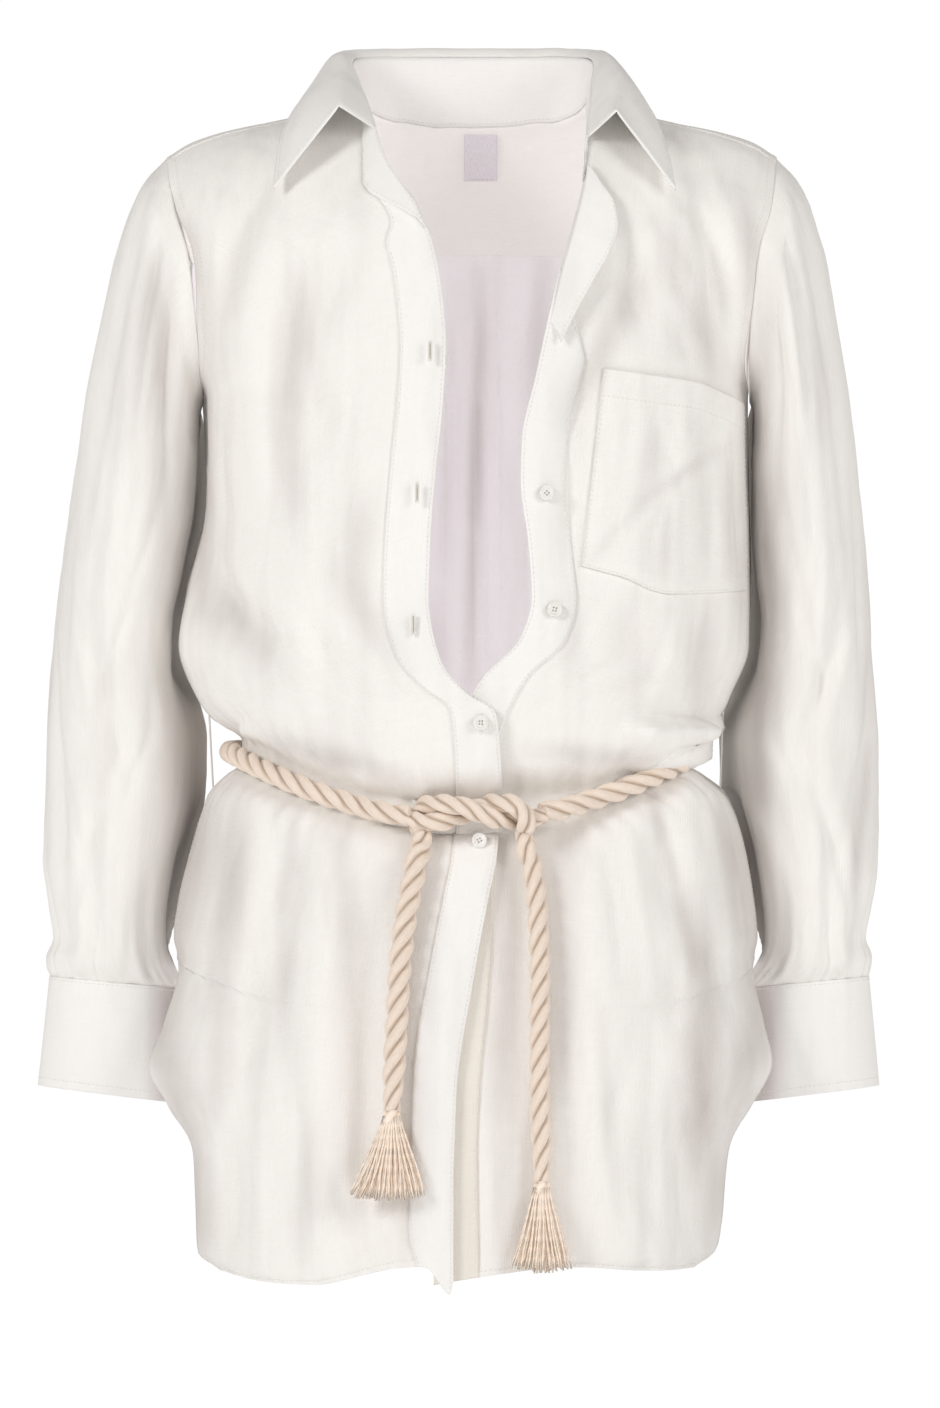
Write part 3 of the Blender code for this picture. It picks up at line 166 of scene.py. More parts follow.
# How far the cloth stands from the middle plane at each height
GIRTH = table(
    "height left right front back",
    (
        (30, 214, 216, 74, 84),
        (0, 214, 217, 80, 90),
        (-50, 211, 219, 92, 98),
        (-96, 200, 208, 102, 103),
        (-140, 186, 196, 110, 106),
        (-176, 169.5, 184.5, 115, 106),
        (-240, 168, 184.5, 121, 103),
        (-300, 181, 186, 124, 104),
        (-335, 187, 185, 125, 105),
        (-362, 178, 175, 122, 104),
        (-381, 164, 165, 116, 101),
        (-387, 155, 154, 109, 95),
        (-391.5, 148, 147, 102, 89.5),
        (-395.5, 145, 143, 98, 87),
        (-412.5, 145, 143, 98, 87),
        (-419, 153, 152, 102, 91),
        (-434, 167, 170, 107, 98),
        (-456, 175, 179, 111, 103),
        (-497, 186, 187, 118, 109),
        (-526, 190, 190, 122, 112),
        (-536, 188, 188, 123, 113),
        (-587, 208, 206, 127, 116),
        (-608, 216, 211, 128, 117),
        (-634, 202, 196, 129, 118),
        (-665, 186, 180, 130, 119),
        (-700, 185, 177, 131, 120),
        (-760, 186, 176, 133, 121),
    ),
)

# The shoulder ridge: its height by distance from the middle of the body
RIDGE = table(
    "out height",
    ((0, 26), (40, 25), (70, 21), (105, 12), (130, 6), (160, 0), (182, -7), (198, -17), (225, -40)),
)

# Rope tails, from the knot down: x and height of points along each
RIGHT_TAIL = ((-31.5, -480), (-33, -490), (-37, -510), (-41, -545), (-43, -580), (-45, -612), (-46, -636))
LEFT_TAIL = ((42, -478), (44, -490), (46, -510), (47, -550), (47, -590), (47, -630), (48, -660), (48, -682))


def gentle(share):
    """A share from 0 to 1 that starts and ends softly."""
    return share * share * (3 - 2 * share)


def smooth(knots, values, at):
    """A smooth curve without overshoot through the values at the knots, read at the places given."""
    knots = np.asarray(knots, float)
    values = np.asarray(values, float)
    if knots[0] > knots[-1]:
        knots, values = knots[::-1], values[::-1]
    at = np.clip(np.asarray(at, float), knots[0], knots[-1])
    step = np.diff(knots)
    slope = np.diff(values) / step
    tangent = np.zeros_like(values)
    same_way = slope[:-1] * slope[1:] > 0
    before, after = slope[:-1][same_way], slope[1:][same_way]
    near, far = 2 * step[1:] + step[:-1], step[1:] + 2 * step[:-1]
    near, far = near[same_way], far[same_way]
    tangent[1:-1][same_way] = (near + far) / (near / before + far / after)
    tangent[0], tangent[-1] = slope[0], slope[-1]
    i = np.clip(np.searchsorted(knots, at, side="right") - 1, 0, len(step) - 1)
    t = (at - knots[i]) / step[i]
    rise = (1 + 2 * t) * (1 - t) ** 2 * values[i] + t * t * (3 - 2 * t) * values[i + 1]
    return rise + t * (1 - t) * step[i] * ((1 - t) * tangent[i] - t * tangent[i + 1])


def belt_height(x, behind):
    """Height of the rope belt at a distance across the front or the back."""
    bow = 1 - np.minimum(np.abs(x) / BELT_REACH, 1.0) ** 2
    return WAIST_HEIGHT + np.where(behind, BELT_RISE_BEHIND, -BELT_DIP) * bow


def girth_level(x, z, behind):
    """The row of the cross-section table that applies at a place: it follows the belt's line."""
    belt = belt_height(x, behind)
    level = z - (belt - WAIST_HEIGHT) * np.exp(-(((z - belt) / BELT_SPREAD) ** 2))
    middle, reach, room = KNOT_ROOM
    room = np.where(behind, 0, room * np.exp(-(((x - middle) / reach) ** 2)))
    off = level - WAIST_HEIGHT
    kept = np.sign(off) * np.maximum(np.abs(off) - room, 0)
    eased = kept + (off - kept) * np.clip(np.abs(off) / 45, 0, 1) ** 2
    return np.where(np.abs(off) < 45, WAIST_HEIGHT + eased, level)


def half_width(x, z, behind):
    """Half width of the body at a height, on the side on which x lies."""
    level = girth_level(x, z, behind)
    reach = np.where(
        x < 0,
        smooth(GIRTH["height"], GIRTH["left"], level),
        smooth(GIRTH["height"], GIRTH["right"], level),
    )
    return reach * np.where(behind & (z < -540), 0.985, 1.0)


def ridge(x):
    """Height of the shoulder ridge at a distance across."""
    return smooth(RIDGE["out"], RIDGE["height"], np.abs(x - BODY_MIDDLE))


def down_of(x, z):
    """The way down from the ridge to a height."""
    drop = np.maximum(ridge(x) - z, 0)
    turn = np.arccos(np.clip(1 - drop / SHOULDER_ROUND, 0, 1))
    return SHOULDER_ROUND * turn + np.maximum(drop - SHOULDER_ROUND, 0)


def body(angle, down):
    """A point of the body: angle round it from the middle of the front, and way down from the ridge."""
    behind = (np.cos(angle) < 0) ^ (down < 0)
    turn = np.minimum(np.abs(down) / SHOULDER_ROUND, math.pi / 2)
    past = np.maximum(np.abs(down) - SHOULDER_ROUND * math.pi / 2, 0)
    drop = SHOULDER_ROUND * (1 - np.cos(turn)) + past
    x, z = 180 * np.sin(angle), -drop
    for _ in range(8):
        x = half_width(x, z, behind) * np.sin(angle)
        z = ridge(x) - drop
    level = girth_level(x, z, behind)
    depth = np.where(
        behind,
        smooth(GIRTH["height"], GIRTH["back"], level),
        smooth(GIRTH["height"], GIRTH["front"], level),
    )
    across = np.abs(np.sin(angle)) ** SQUARENESS
    round_share = np.maximum(1 - across, 0) ** (1 / SQUARENESS)
    return np.stack([x, np.where(behind, 1, -1) * depth * round_share * np.sin(turn), z], -1)


def body_place(x, z, behind=False):
    """Angle and way down of the body's point at x and z."""
    x = np.asarray(x, float)
    z = np.asarray(z, float)
    angle = np.arcsin(np.clip(x / half_width(x, z, np.full(x.shape, behind)), -1, 1))
    return angle, down_of(x, z)


def off_body(angle, down, lift=0.0):
    """Points of the smooth body, moved out by a lift, and the outward normals there."""
    small = 0.002
    point = body(angle, down)
    round_way = body(angle + small, down) - body(angle - small, down)
    down_way = body(angle, down + small * 150) - body(angle, down - small * 150)
    normal = np.cross(down_way, round_way)
    normal /= np.maximum(np.linalg.norm(normal, axis=-1, keepdims=True), 1e-9)
    return point + normal * np.asarray(lift)[..., None], normal


def lap_lift(x):
    """How far the right front stands off the left one where they lap."""
    near = np.clip((x - LAP_REACH[0]) / (LAP_REACH[1] - LAP_REACH[0]), 0, 1)
    return UNDERLAP_LIFT * gentle(near)


def distances(path):
    """How far along a path each of its points lies."""
    return np.concatenate([[0], np.cumsum(np.linalg.norm(np.diff(path, axis=0), axis=1))])


def even_steps(path, step):
    """A path's points again, in equal steps along a smooth curve through them."""
    far = distances(path)
    count = max(int(round(far[-1] / step)), 4)
    at = np.linspace(0, far[-1], count + 1)
    return np.stack([smooth(far, path[:, i], at) for i in range(3)], -1)


def along(path):
    """Unit headings of a path, two directions across it carried along without twist, and distances."""
    heading = np.gradient(path, axis=0)
    heading /= np.linalg.norm(heading, axis=1, keepdims=True)
    side = np.zeros_like(path)
    side[0] = np.cross(heading[0], (0.2, -1.0, 0.1))
    side[0] /= np.linalg.norm(side[0])
    for i in range(1, len(path)):
        side[i] = side[i - 1] - heading[i] * np.dot(side[i - 1], heading[i])
        side[i] /= np.linalg.norm(side[i])
    return side, np.cross(heading, side), distances(path)


def ring_about(point, side, across, turns, size):
    """Points round a middle at the given turns, each at its own distance."""
    out = np.cos(turns)[:, None] * side + np.sin(turns)[:, None] * across
    return point + out * np.reshape(size, (-1, 1))


def corners_of(shape, points):
    """New corners of a mesh at points in millimetres."""
    return [shape.verts.new(Vector(p) * MM) for p in points]


STRAND_SIDES = 12
ROPE_SIDES = 3 * STRAND_SIDES


def rope_form(shape, paths, swell=None):
    """Adds three-strand rope along each path: a lobed tube that turns once in each lay."""
    uv = shape.loops.layers.uv.active or shape.loops.layers.uv.new("UVMap")
    for path, radius, start_turn in paths:
        side, across, far = along(path)
        turn = np.linspace(0, 2 * math.pi, ROPE_SIDES, endpoint=False)
        strand = (turn + math.pi / 3) % (2 * math.pi / 3) - math.pi / 3
        lobe = 0.5 * np.cos(strand) + np.sqrt(0.53**2 - (0.5 * np.sin(strand)) ** 2)
        rings = []
        for i, point in enumerate(path):
            twist = start_turn + 2 * math.pi * far[i] / ROPE_LAY
            size = radius * (1 if swell is None else swell[i])
            rings.append(corners_of(shape, ring_about(point, side[i], across[i], turn + twist, lobe * size)))
        for i in range(len(rings) - 1):
            for j in range(ROPE_SIDES):
                k = (j + 1) % ROPE_SIDES
                face = shape.faces.new([rings[i][j], rings[i][k], rings[i + 1][k], rings[i + 1][j]])
                v = (j + STRAND_SIDES // 2) % STRAND_SIDES / STRAND_SIDES
                next_v = v + 1 / STRAND_SIDES
                for loop, u, across_v in zip(face.loops, (i, i, i + 1, i + 1), (v, next_v, next_v, v)):
                    loop[uv].uv = (far[u] * MM * 100, across_v)
        for ring, point in ((rings[0][::-1], path[0]), (rings[-1], path[-1])):
            middle = shape.verts.new(Vector(point) * MM)
            for j in range(ROPE_SIDES):
                face = shape.faces.new([ring[j], ring[(j + 1) % ROPE_SIDES], middle])
                for loop, v in zip(face.loops, (0.1, 0.1, 0.5)):
                    loop[uv].uv = (0.0, v)


def finished(name, shape, nodes, materials):
    """Links a mesh, lays its materials on it, and has it stand for its CAD nodes."""
    bmesh.ops.recalc_face_normals(shape, faces=shape.faces[:])
    mesh = bpy.data.meshes.new(name)
    shape.to_mesh(mesh)
    shape.free()
    mesh.shade_smooth()
    for material in materials:
        mesh.materials.append(material)
    piece = bpy.data.objects.new(name, mesh)
    bpy.context.scene.collection.objects.link(piece)
    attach(piece, "root")
    if nodes:
        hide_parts(*nodes)
    return piece


def node_of(material, kind, **values):
    """A new node of a material, with its named inputs set."""
    node = material.node_tree.nodes.new(kind)
    for key, value in values.items():
        node.inputs[key.replace("_", " ")].default_value = value
    return node


def tint_of(material, low, high, low_at=0.0, high_at=1.0):
    """A new ramp between two colours in a material."""
    tint = material.node_tree.nodes.new("ShaderNodeValToRGB")
    for stop, colour, at in zip(tint.color_ramp.elements, (low, high), (low_at, high_at)):
        stop.color = (*colour, 1)
        stop.position = at
    return tint


# Unbleached cotton: matt, with painted shade darkening it towards the grooves between strands, and fine yarn
# lines
cotton, cotton_skin, link = material_of(
    "unbleached_cotton", Roughness=0.88, Specular_IOR_Level=0.2, Sheen_Weight=0.25, Sheen_Roughness=0.6)
place = node_of(cotton, "ShaderNodeTexCoord")
split = node_of(cotton, "ShaderNodeSeparateXYZ")
link(place.outputs["UV"], split.inputs["Vector"])
groove = node_of(cotton, "ShaderNodeMath")
groove.operation = "PINGPONG"
groove.inputs[1].default_value = 0.5
link(split.outputs["Y"], groove.inputs[0])
# Painted shade: the colour runs from pale cotton on the strands to dark brown in the grooves between them
groove_shade_tint = tint_of(cotton, (0.56, 0.43, 0.325), (0.93, 0.80, 0.69), 0.0, 0.2)
link(groove.outputs["Value"], groove_shade_tint.inputs["Fac"])
yarn_place = node_of(cotton, "ShaderNodeMapping", Scale=(2.2, 11.0, 1.0))
link(place.outputs["UV"], yarn_place.inputs["Vector"])
yarn = node_of(cotton, "ShaderNodeTexNoise", Scale=1.0, Detail=3.0, Roughness=0.6)
link(yarn_place.outputs["Vector"], yarn.inputs["Vector"])
fuzz = node_of(cotton, "ShaderNodeTexNoise", Scale=900.0, Detail=2.0)
link(place.outputs["Object"], fuzz.inputs["Vector"])
mottle = node_of(cotton, "ShaderNodeMix")
mottle.data_type = "RGBA"
mottle.blend_type = "MULTIPLY"
mottle.inputs["Factor"].default_value = 0.35
link(groove_shade_tint.outputs["Color"], mottle.inputs["A"])
yarn_tint = tint_of(cotton, (0.80, 0.75, 0.70), (1.0, 1.0, 1.0), 0.32, 0.6)
link(yarn.outputs["Fac"], yarn_tint.inputs["Fac"])
link(yarn_tint.outputs["Color"], mottle.inputs["B"])
link(mottle.outputs["Result"], cotton_skin.inputs["Base Color"])
yarn_relief = node_of(cotton, "ShaderNodeMath")
yarn_relief.operation = "ADD"
link(yarn.outputs["Fac"], yarn_relief.inputs[0])
link(fuzz.outputs["Fac"], yarn_relief.inputs[1])
relief = node_of(cotton, "ShaderNodeBump", Strength=0.55, Distance=0.0006)
link(yarn_relief.outputs["Value"], relief.inputs["Height"])
link(relief.outputs["Normal"], cotton_skin.inputs["Normal"])


def belt_line():
    """The middle of the rope round the waist, from the knot's left end round the back to its right end."""
    limits = []
    for x in (KNOT[1] + 0.5, KNOT[0] - 0.5):
        limits.append(float(body_place([x], belt_height(np.array([x]), False))[0][0]))
    angle = np.linspace(limits[0], limits[1] + 2 * math.pi, 56)
    behind = np.cos(angle) < 0
    x = BELT_REACH * np.sin(angle)
    for _ in range(12):
        x = half_width(x, belt_height(x, behind), behind) * np.sin(angle)
    down = down_of(x, belt_height(x, behind))
    lead = gentle(np.where(behind, 1.0, np.clip((np.abs(x - KNOT_ROOM[0]) - 40) / 40, 0, 1)))
    seat = CLOTH / 2 + SEAM_GAP + ROPE / 2
    lap = np.where(behind | (x > 0), 0, lap_lift(x))
    return off_body(angle, down, KNOT_LIFT * (1 - lead) + (seat + 0.6 + lap) * lead)[0]


def tail_line(rows, begin):
    """The middle of a hanging rope tail: out of the knot, then down against the front."""
    count = np.linspace(0, len(rows) - 1, 16)
    x = smooth(np.arange(len(rows)), [r[0] for r in rows], count)
    z = smooth(np.arange(len(rows)), [r[1] for r in rows], count)
    angle, down = body_place(x, z)
    hanging = off_body(angle, down, TAIL_LIFT + np.where(x < 0, lap_lift(x), 0))[0]
    return np.concatenate([[begin, np.array(begin) + (0.3, 0.6, -8)], hanging])


waist_path = even_steps(belt_line(), 2.2)
shape = bmesh.new()
rope_form(shape, [(waist_path, ROPE / 2, 0.4)])
waist_rope = finished("rope_round_waist", shape, ["belt_waist"], [cotton])

# The half knot: each end crosses over the other once, and its two crossings lie side by side
KNOT_ROPE = 6.5
knot_ahead = waist_path[-1][1]
OVER_ROUTE = table(
    "x ahead z",
    ((-42, 0, -447), (-33, 1, -448.5), (-20, -2.5, -449.5), (-8, 3, -447), (4, 8, -442), (15, 3, -437.5),
     (25, -5, -437), (33, -8, -439), (38, -8, -445), (39.5, -3, -454)),
)
UNDER_ROUTE = table(
    "x ahead z",
    ((-28.5, -1, -456), (-30.5, 7, -450), (-29, 8, -442), (-22, 3, -437.5), (-11, -5, -437.5),
     (2, -8, -440.5), (14, -6.5, -445.5), (25, 1, -448), (34, 7, -447), (44, 3, -446), (54, 0, -445)),
)
shape = bmesh.new()
for route, turn, tucked in ((OVER_ROUTE, 0.2, 0), (UNDER_ROUTE, 1.4, -1)):
    line = np.stack([route["x"], knot_ahead - 1.5 + route["ahead"], route["z"]], -1)
    line = even_steps(line, 2.0)
    from_end = np.linalg.norm(line - line[tucked], axis=1)
    rope_form(shape, [(line, KNOT_ROPE, turn)], swell=1 - 0.45 * np.clip(1 - from_end / 10, 0, 1))
finished("rope_half_knot", shape, ["belt_knot"], [cotton])

TASSEL_STRANDS = 110
# Combed-out threads: the same cotton in lighter colours, with a faint emission as painted glow
combed_cotton_glowing = cotton.copy()
combed_cotton_glowing.name = "combed_cotton_glowing"
for tint in [n for n in combed_cotton_glowing.node_tree.nodes if n.type == "VALTORGB"]:
    tint.color_ramp.elements[0].color = (0.90, 0.78, 0.67, 1)
    tint.color_ramp.elements[1].color = (0.98, 0.89, 0.80, 1)
combed_skin = combed_cotton_glowing.node_tree.nodes["Principled BSDF"]
combed_skin.inputs["Emission Color"].default_value = (0.86, 0.68, 0.53, 1.0)
combed_skin.inputs["Emission Strength"].default_value = 0.12


def tube(shape, rings):
    """Joins rings of corners into a closed tube; gives back the faces of its side and of its ends."""
    sides = []
    for a, b in zip(rings, rings[1:]):
        for j in range(len(a)):
            k = (j + 1) % len(a)
            sides.append(shape.faces.new([a[j], a[k], b[k], b[j]]))
    return sides, [shape.faces.new(rings[0][::-1]), shape.faces.new(rings[-1])]


def tassel_form(shape, top, heading, spread, length):
    """Combed-out strands below a rope's bound end: a bunch of wavy threads round a short neck."""
    uv = shape.loops.layers.uv.active or shape.loops.layers.uv.new("UVMap")
    golden = math.pi * (3 - math.sqrt(5))
    fresh = np.random.default_rng(int(abs(top[0])) + 3)
    for i in range(TASSEL_STRANDS):
        share = math.sqrt((i + 0.5) / TASSEL_STRANDS)
        turn = i * golden
        waver = fresh.uniform(-1, 1, 6)
        reach = length - 4.0 * abs(waver[0]) - 3.5 * share + 1.5
        places = np.linspace(0, 1, 9)
        flare = places ** (1.15 + 0.25 * waver[1])
        out_x = math.cos(turn) * share * (5.0 + (spread - 5.0) * flare)
        out_y = math.sin(turn) * share * (4.6 + 4.4 * flare) - 1.5 * flare
        sway = np.sin(places * (5 + 2 * waver[2]) + waver[3] * 3) * 0.9 * places
        line = top + heading * (3.0 + (reach - 3.0) * places)[:, None]
        line = line + np.stack([out_x + sway, out_y + sway * waver[4] * 0.6, 0 * places], -1)
        side, across, far = along(line)
        thick = 0.85 * (1 - 0.25 * places)
        square = np.linspace(0, 2 * math.pi, 4, endpoint=False)
        rings = [
            corners_of(shape, ring_about(line[j], side[j], across[j], square + far[j] * 0.35, thick[j]))
            for j in range(len(line))]
        sides, ends = tube(shape, rings)
        for number, face in enumerate(sides):
            for loop in face.loops:
                loop[uv].uv = (i * 0.37 + places[number // 4], 0.22 + 0.26 * (i % 3) / 2)
        for face in ends:
            for loop in face.loops:
                loop[uv].uv = (0.0, 0.15)


TASSEL_LONG = 58.0
for worn, rows, half, spread, start in (
    ("right", RIGHT_TAIL, 7.5, 25.5, 0.9),
    ("left", LEFT_TAIL, 6.8, 20.5, 0.1),
):
    begin = np.array([rows[0][0] * 0.9, knot_ahead - 1.0, -454.5])
    tail_path = even_steps(tail_line(rows, begin), 2.2)
    tail_long = float(distances(tail_path)[-1])
    far = np.linspace(0, tail_long, len(tail_path))
    slim = 1 - 0.22 * np.clip((far - tail_long + 26) / 20, 0, 1) - 0.2 * np.clip(1 - far / 11, 0, 1)
    shape = bmesh.new()
    rope_form(shape, [(tail_path, half, start)], swell=slim)
    tail_rope = finished("rope_tail_" + worn, shape, ["belt_tail_" + worn], [cotton])
    heading = tail_path[-1] - tail_path[-4]
    heading /= np.linalg.norm(heading)
    shape = bmesh.new()
    neck = np.stack([tail_path[-1] + heading * t for t in (-1.0, 3.0, 6.0, 9.0)])
    rope_form(shape, [(neck, half * 0.78, 0.5)])
    tassel_form(shape, tail_path[-1], heading, spread, TASSEL_LONG)
    tassel = finished("tassel_threads_" + worn, shape, ["tassel_" + worn], [combed_cotton_glowing])


# Fronts
# Two pieces of white linen from the shoulder to the rounded tail. Their free edges have a band
# sewn on, the hem is rolled narrow, and the cloth is soft, slubbed and lightly crumpled.

ARMHOLE = table(
    "height left right",
    ((-17, 194, 202), (-51, 189, 198), (-79, 180, 190), (-109, 176, 186), (-145, 172, 184),
     (-176, 169.5, 184.5)),
)
ARMHOLE_TOP = -17.0
ARMPIT = -176.0
ARMHOLE_MIDDLE = (ARMHOLE_TOP + ARMPIT) / 2
ARMHOLE_REACH = (ARMHOLE_TOP - ARMPIT) / 2
ARM_STEPS = 10
ARMPIT_LEVEL = 6
BELT_LEVELS = (13, 21)
SEAM_END_LEVEL = 24
YOKE_SEAM_DOWN = 13.0

# The right front with the buttonholes: its free edge and its outer edge, level by level
RIGHT_FRONT = table(
    "edge_x edge_z side_x side_z",
    (
        (-67, 21, -194, -17),
        (-66, -8, -192, -36),
        (-66, -36, -187, -62),
        (-25, -65, -179, -85),
        (-15, -112, -175, -120),
        (-13, -142, -171.5, -150),
        (-15, -180, -169.5, -176),
        (-19, -218, -168, -222),
        (-23, -268, -173, -268),
        (-24, -305, -181.5, -304),
        (-16, -345, -186, -332),
        (2, -366, -180, -352),
        (19, -378, -172, -368),
        (22, -404, -161, -384),
        (23, -420, -155, -390),
        (23, -429, -148, -394),
        (23, -435, -145, -398),
        (23, -443, -145, -404),
        (23, -451, -145, -411),
        (22, -459, -154, -418),
        (20, -474, -165, -431),
        (15, -498, -176, -458),
        (9, -528, -186, -494),
        (3, -562, -190, -527),
        (-3, -596, -186, -546),
        (-6, -622, -197, -584),
        (-7, -650, -205, -608),
        (-8, -676, -193, -634),
        (-8, -702, -177, -664),
        (-8, -727, -175, -706),
        (-8, -746, -173, -729),
        (-10, -754, -160, -739),
    ),
)

# The left front with the buttons
LEFT_FRONT = table(
    "edge_x edge_z side_x side_z",
    (
        (79, 20, 202, -17),
        (79, -8, 200, -36),
        (76, -35, 196, -62),
        (70, -60, 189, -85),
        (61, -92, 186, -120),
        (54, -122, 184, -150),
        (46, -160, 184.5, -176),
        (37, -200, 184.5, -222),
        (36, -230, 185, -262),
        (41, -270, 186, -298),
        (43, -304, 185.5, -326),
        (36, -330, 180, -350),
        (10, -358, 173, -366),
        (-6, -392, 163, -384),
        (-9, -414, 155, -390),
        (-9, -427, 147, -394),
        (-9, -438, 143, -398),
        (-9, -445, 143, -404),
        (-9, -454, 143, -411),
        (-10, -461, 153, -418),
        (-10, -476, 168, -432),
        (-11, -500, 178, -456),
        (-12, -530, 186, -494),
        (-14, -564, 190, -525),
        (-16, -598, 187, -548),
        (-18, -624, 194, -582),
        (-19, -650, 199, -606),
        (-20, -676, 186, -634),
        (-20, -702, 171, -662),
        (-20, -727, 167, -706),
        (-20, -742, 163, -727),
        (-20, -748, 150, -738),
    ),
)

# The large soft troughs (negative) and ridges of the fronts
FRONT_FOLDS = table(
    "x0 z0 x1 z1 width depth",
    (
        (-131, -14, -158, -117, 9, -6), (-79, -78, -96, -140, 11, -4), (-112, -90, -125, -182, 13, -5),
        (-103, -146, -90, -200, 11, -4), (-187, -50, -176, -110, 10, -4),
        (-166, -280, -130, -355, 13, -6), (-144, -310, -125, -337, 10, -4),
        (-100, -325, -84, -355, 10, -4), (-60, -180, -70, -300, 22, 4), (-140, -130, -140, -260, 20, 4),
        (-120, -458, -148, -640, 15, -7), (-88, -470, -100, -700, 20, 4.5),
        (-152, -660, -157, -738, 9, -6), (-60, -480, -62, -720, 16, -4), (-28, -500, -24, -700, 12, 3),
        (150, -29, 181, -163, 9, -6), (103, -60, 110, -133, 11, -4), (138, -123, 148, -153, 10, -4),
        (162, -78, 160, -146, 9, -4), (80, -168, 66, -206, 8, -4), (69, -212, 68, -292, 7, -4),
        (108, -305, 106, -354, 11, -4), (153, -314, 153, -364, 11, -4), (130, -300, 130, -360, 16, 4),
        (120, -440, 142, -524, 12, -6), (137, -542, 138, -590, 9, -4), (139, -610, 149, -736, 9, -6),
        (98, -616, 96, -652, 11, -3), (80, -470, 92, -700, 22, 4), (40, -470, 30, -650, 13, -4),
    ),
)

# The smaller creases between them
FRONT_CREASES = table(
    "x0 z0 x1 z1 width depth",
    (
        (-92, -30, -118, -150, 5, -1.6), (-150, -40, -166, -150, 4, -1.5),
        (-104, -60, -108, -128, 4, 1.3), (-70, -120, -80, -260, 5, -1.4),
        (-128, -190, -112, -268, 5, -1.5), (-46, -150, -50, -290, 4, -1.0),
        (-150, -180, -146, -262, 4, 1.2), (-100, -210, -96, -300, 6, 1.4),
        (-158, -300, -96, -348, 4, -1.8), (-120, -300, -74, -352, 4, -1.4),
        (-72, -318, -46, -362, 4, -1.4), (-168, -262, -148, -322, 4, -1.2),
        (-48, -330, -20, -380, 4, -1.2), (-30, -300, -30, -350, 4, 1.0), (-136, -346, -60, -374, 5, 1.3),
        (-152, -440, -166, -520, 5, -1.6), (-134, -446, -150, -560, 4, 1.4),
        (-104, -452, -120, -560, 5, -1.8), (-76, -462, -84, -590, 4, -1.2),
        (-50, -470, -52, -600, 4, 1.0), (-110, -560, -104, -720, 5, -1.4), (-74, -600, -76, -740, 5, 1.2),
        (-36, -560, -40, -730, 4, -1.0), (-136, -640, -132, -738, 5, 1.4),
        (-92, -660, -60, -742, 5, -1.2), (118, -40, 150, -130, 5, -1.6), (90, -30, 118, -140, 5, -1.4),
        (168, -60, 176, -150, 4, -1.2), (128, -70, 150, -108, 4, 1.2), (172, -180, 176, -300, 5, -1.6),
        (64, -150, 52, -210, 4, -1.3), (90, -300, 64, -352, 4, -1.6), (134, -306, 120, -360, 4, -1.4),
        (170, -306, 166, -352, 4, 1.3), (80, -318, 30, -372, 5, 1.4), (146, -352, 60, -378, 5, -1.6),
        (100, -344, 20, -392, 4, -1.3), (150, -436, 168, -510, 5, -1.6), (104, -448, 122, -560, 5, 1.6),
        (70, -460, 78, -600, 4, -1.4), (88, -450, 100, -540, 4, -1.4), (24, -480, 10, -640, 5, -1.3),
        (56, -540, 60, -720, 5, 1.2), (122, -560, 118, -740, 5, -1.6), (78, -620, 80, -742, 4, -1.2),
        (40, -620, 26, -740, 5, 1.2), (10, -560, -2, -740, 4, -1.0), (104, -690, 130, -742, 5, 1.2),
        (150, -640, 160, -730, 4, -1.2),
    ),
)

# Painted shade: soft dark bands where the cloth turns away from the light or lies in the shade of folds and
# of other parts, then the painted shade seen inside the back
CLOTH_SHADES = table(
    "x0 z0 x1 z1 width depth",
    (
        (-101, -90, -114, -195, 14, 0.20), (-114, -185, -112, -262, 14, 0.16),
        (-62, -232, -76, -305, 13, 0.14), (-78, -290, -44, -350, 12, 0.16),
        (-186, -50, -172, -112, 10, 0.22), (-172, -100, -170, -200, 11, 0.24),
        (-170, -190, -176, -310, 14, 0.24), (-164, -296, -122, -352, 17, 0.20),
        (-130, -396, -30, -421, 8, 0.20), (-140, -60, -150, -118, 7, 0.10),
        (114, -92, 95, -134, 12, 0.20), (98, -126, 66, -186, 10, 0.20), (130, -58, 151, -128, 9, 0.16),
        (148, -118, 165, -168, 9, 0.18), (182, -40, 187, -114, 9, 0.20), (186, -104, 184, -244, 9, 0.22),
        (184, -234, 180, -336, 11, 0.22), (167, -206, 110, -245, 5, 0.10), (113, -243, 78, -284, 5, 0.09),
        (150, -186, 156, -286, 5, 0.12), (124, -190, 120, -232, 5, 0.10), (132, -246, 128, -296, 4, 0.12),
        (172, -200, 170, -290, 5, 0.12), (114, -308, 112, -386, 9, 0.12),
        (153, -312, 150, -392, 11, 0.16), (70, -300, 74, -360, 9, 0.08), (40, -402, 120, -410, 7, 0.16),
        (-170, -428, -188, -530, 14, 0.34), (-188, -520, -198, -600, 14, 0.32),
        (-196, -590, -178, -668, 13, 0.28), (-177, -658, -170, -738, 11, 0.26),
        (-146, -430, -157, -570, 11, 0.26), (-156, -560, -160, -644, 9, 0.18),
        (-107, -438, -117, -506, 6, 0.12), (-117, -496, -113, -634, 6, 0.11),
        (-75, -452, -79, -574, 9, 0.16), (-26, -464, -29, -574, 10, 0.20),
        (-29, -564, -42, -732, 12, 0.18), (-100, -646, -108, -732, 10, 0.14),
        (-66, -620, -72, -736, 8, 0.09), (26, -466, 23, -546, 8, 0.18), (22, -536, 20, -636, 9, 0.18),
        (21, -626, 24, -742, 9, 0.14), (62, -450, 66, -540, 9, 0.10), (65, -530, 62, -626, 8, 0.16),
        (88, -560, 95, -700, 7, 0.13), (119, -424, 134, -484, 5, 0.26), (133, -476, 149, -546, 6, 0.26),
        (148, -536, 150, -680, 10, 0.26), (168, -434, 182, -516, 12, 0.32),
        (182, -506, 191, -586, 13, 0.30), (190, -576, 175, -646, 13, 0.28),
        (172, -640, 160, -732, 11, 0.26), (151, -494, 161, -572, 7, 0.15),
        (160, -560, 152, -668, 8, 0.17), (40, -680, 50, -742, 8, 0.08),
    ),
)
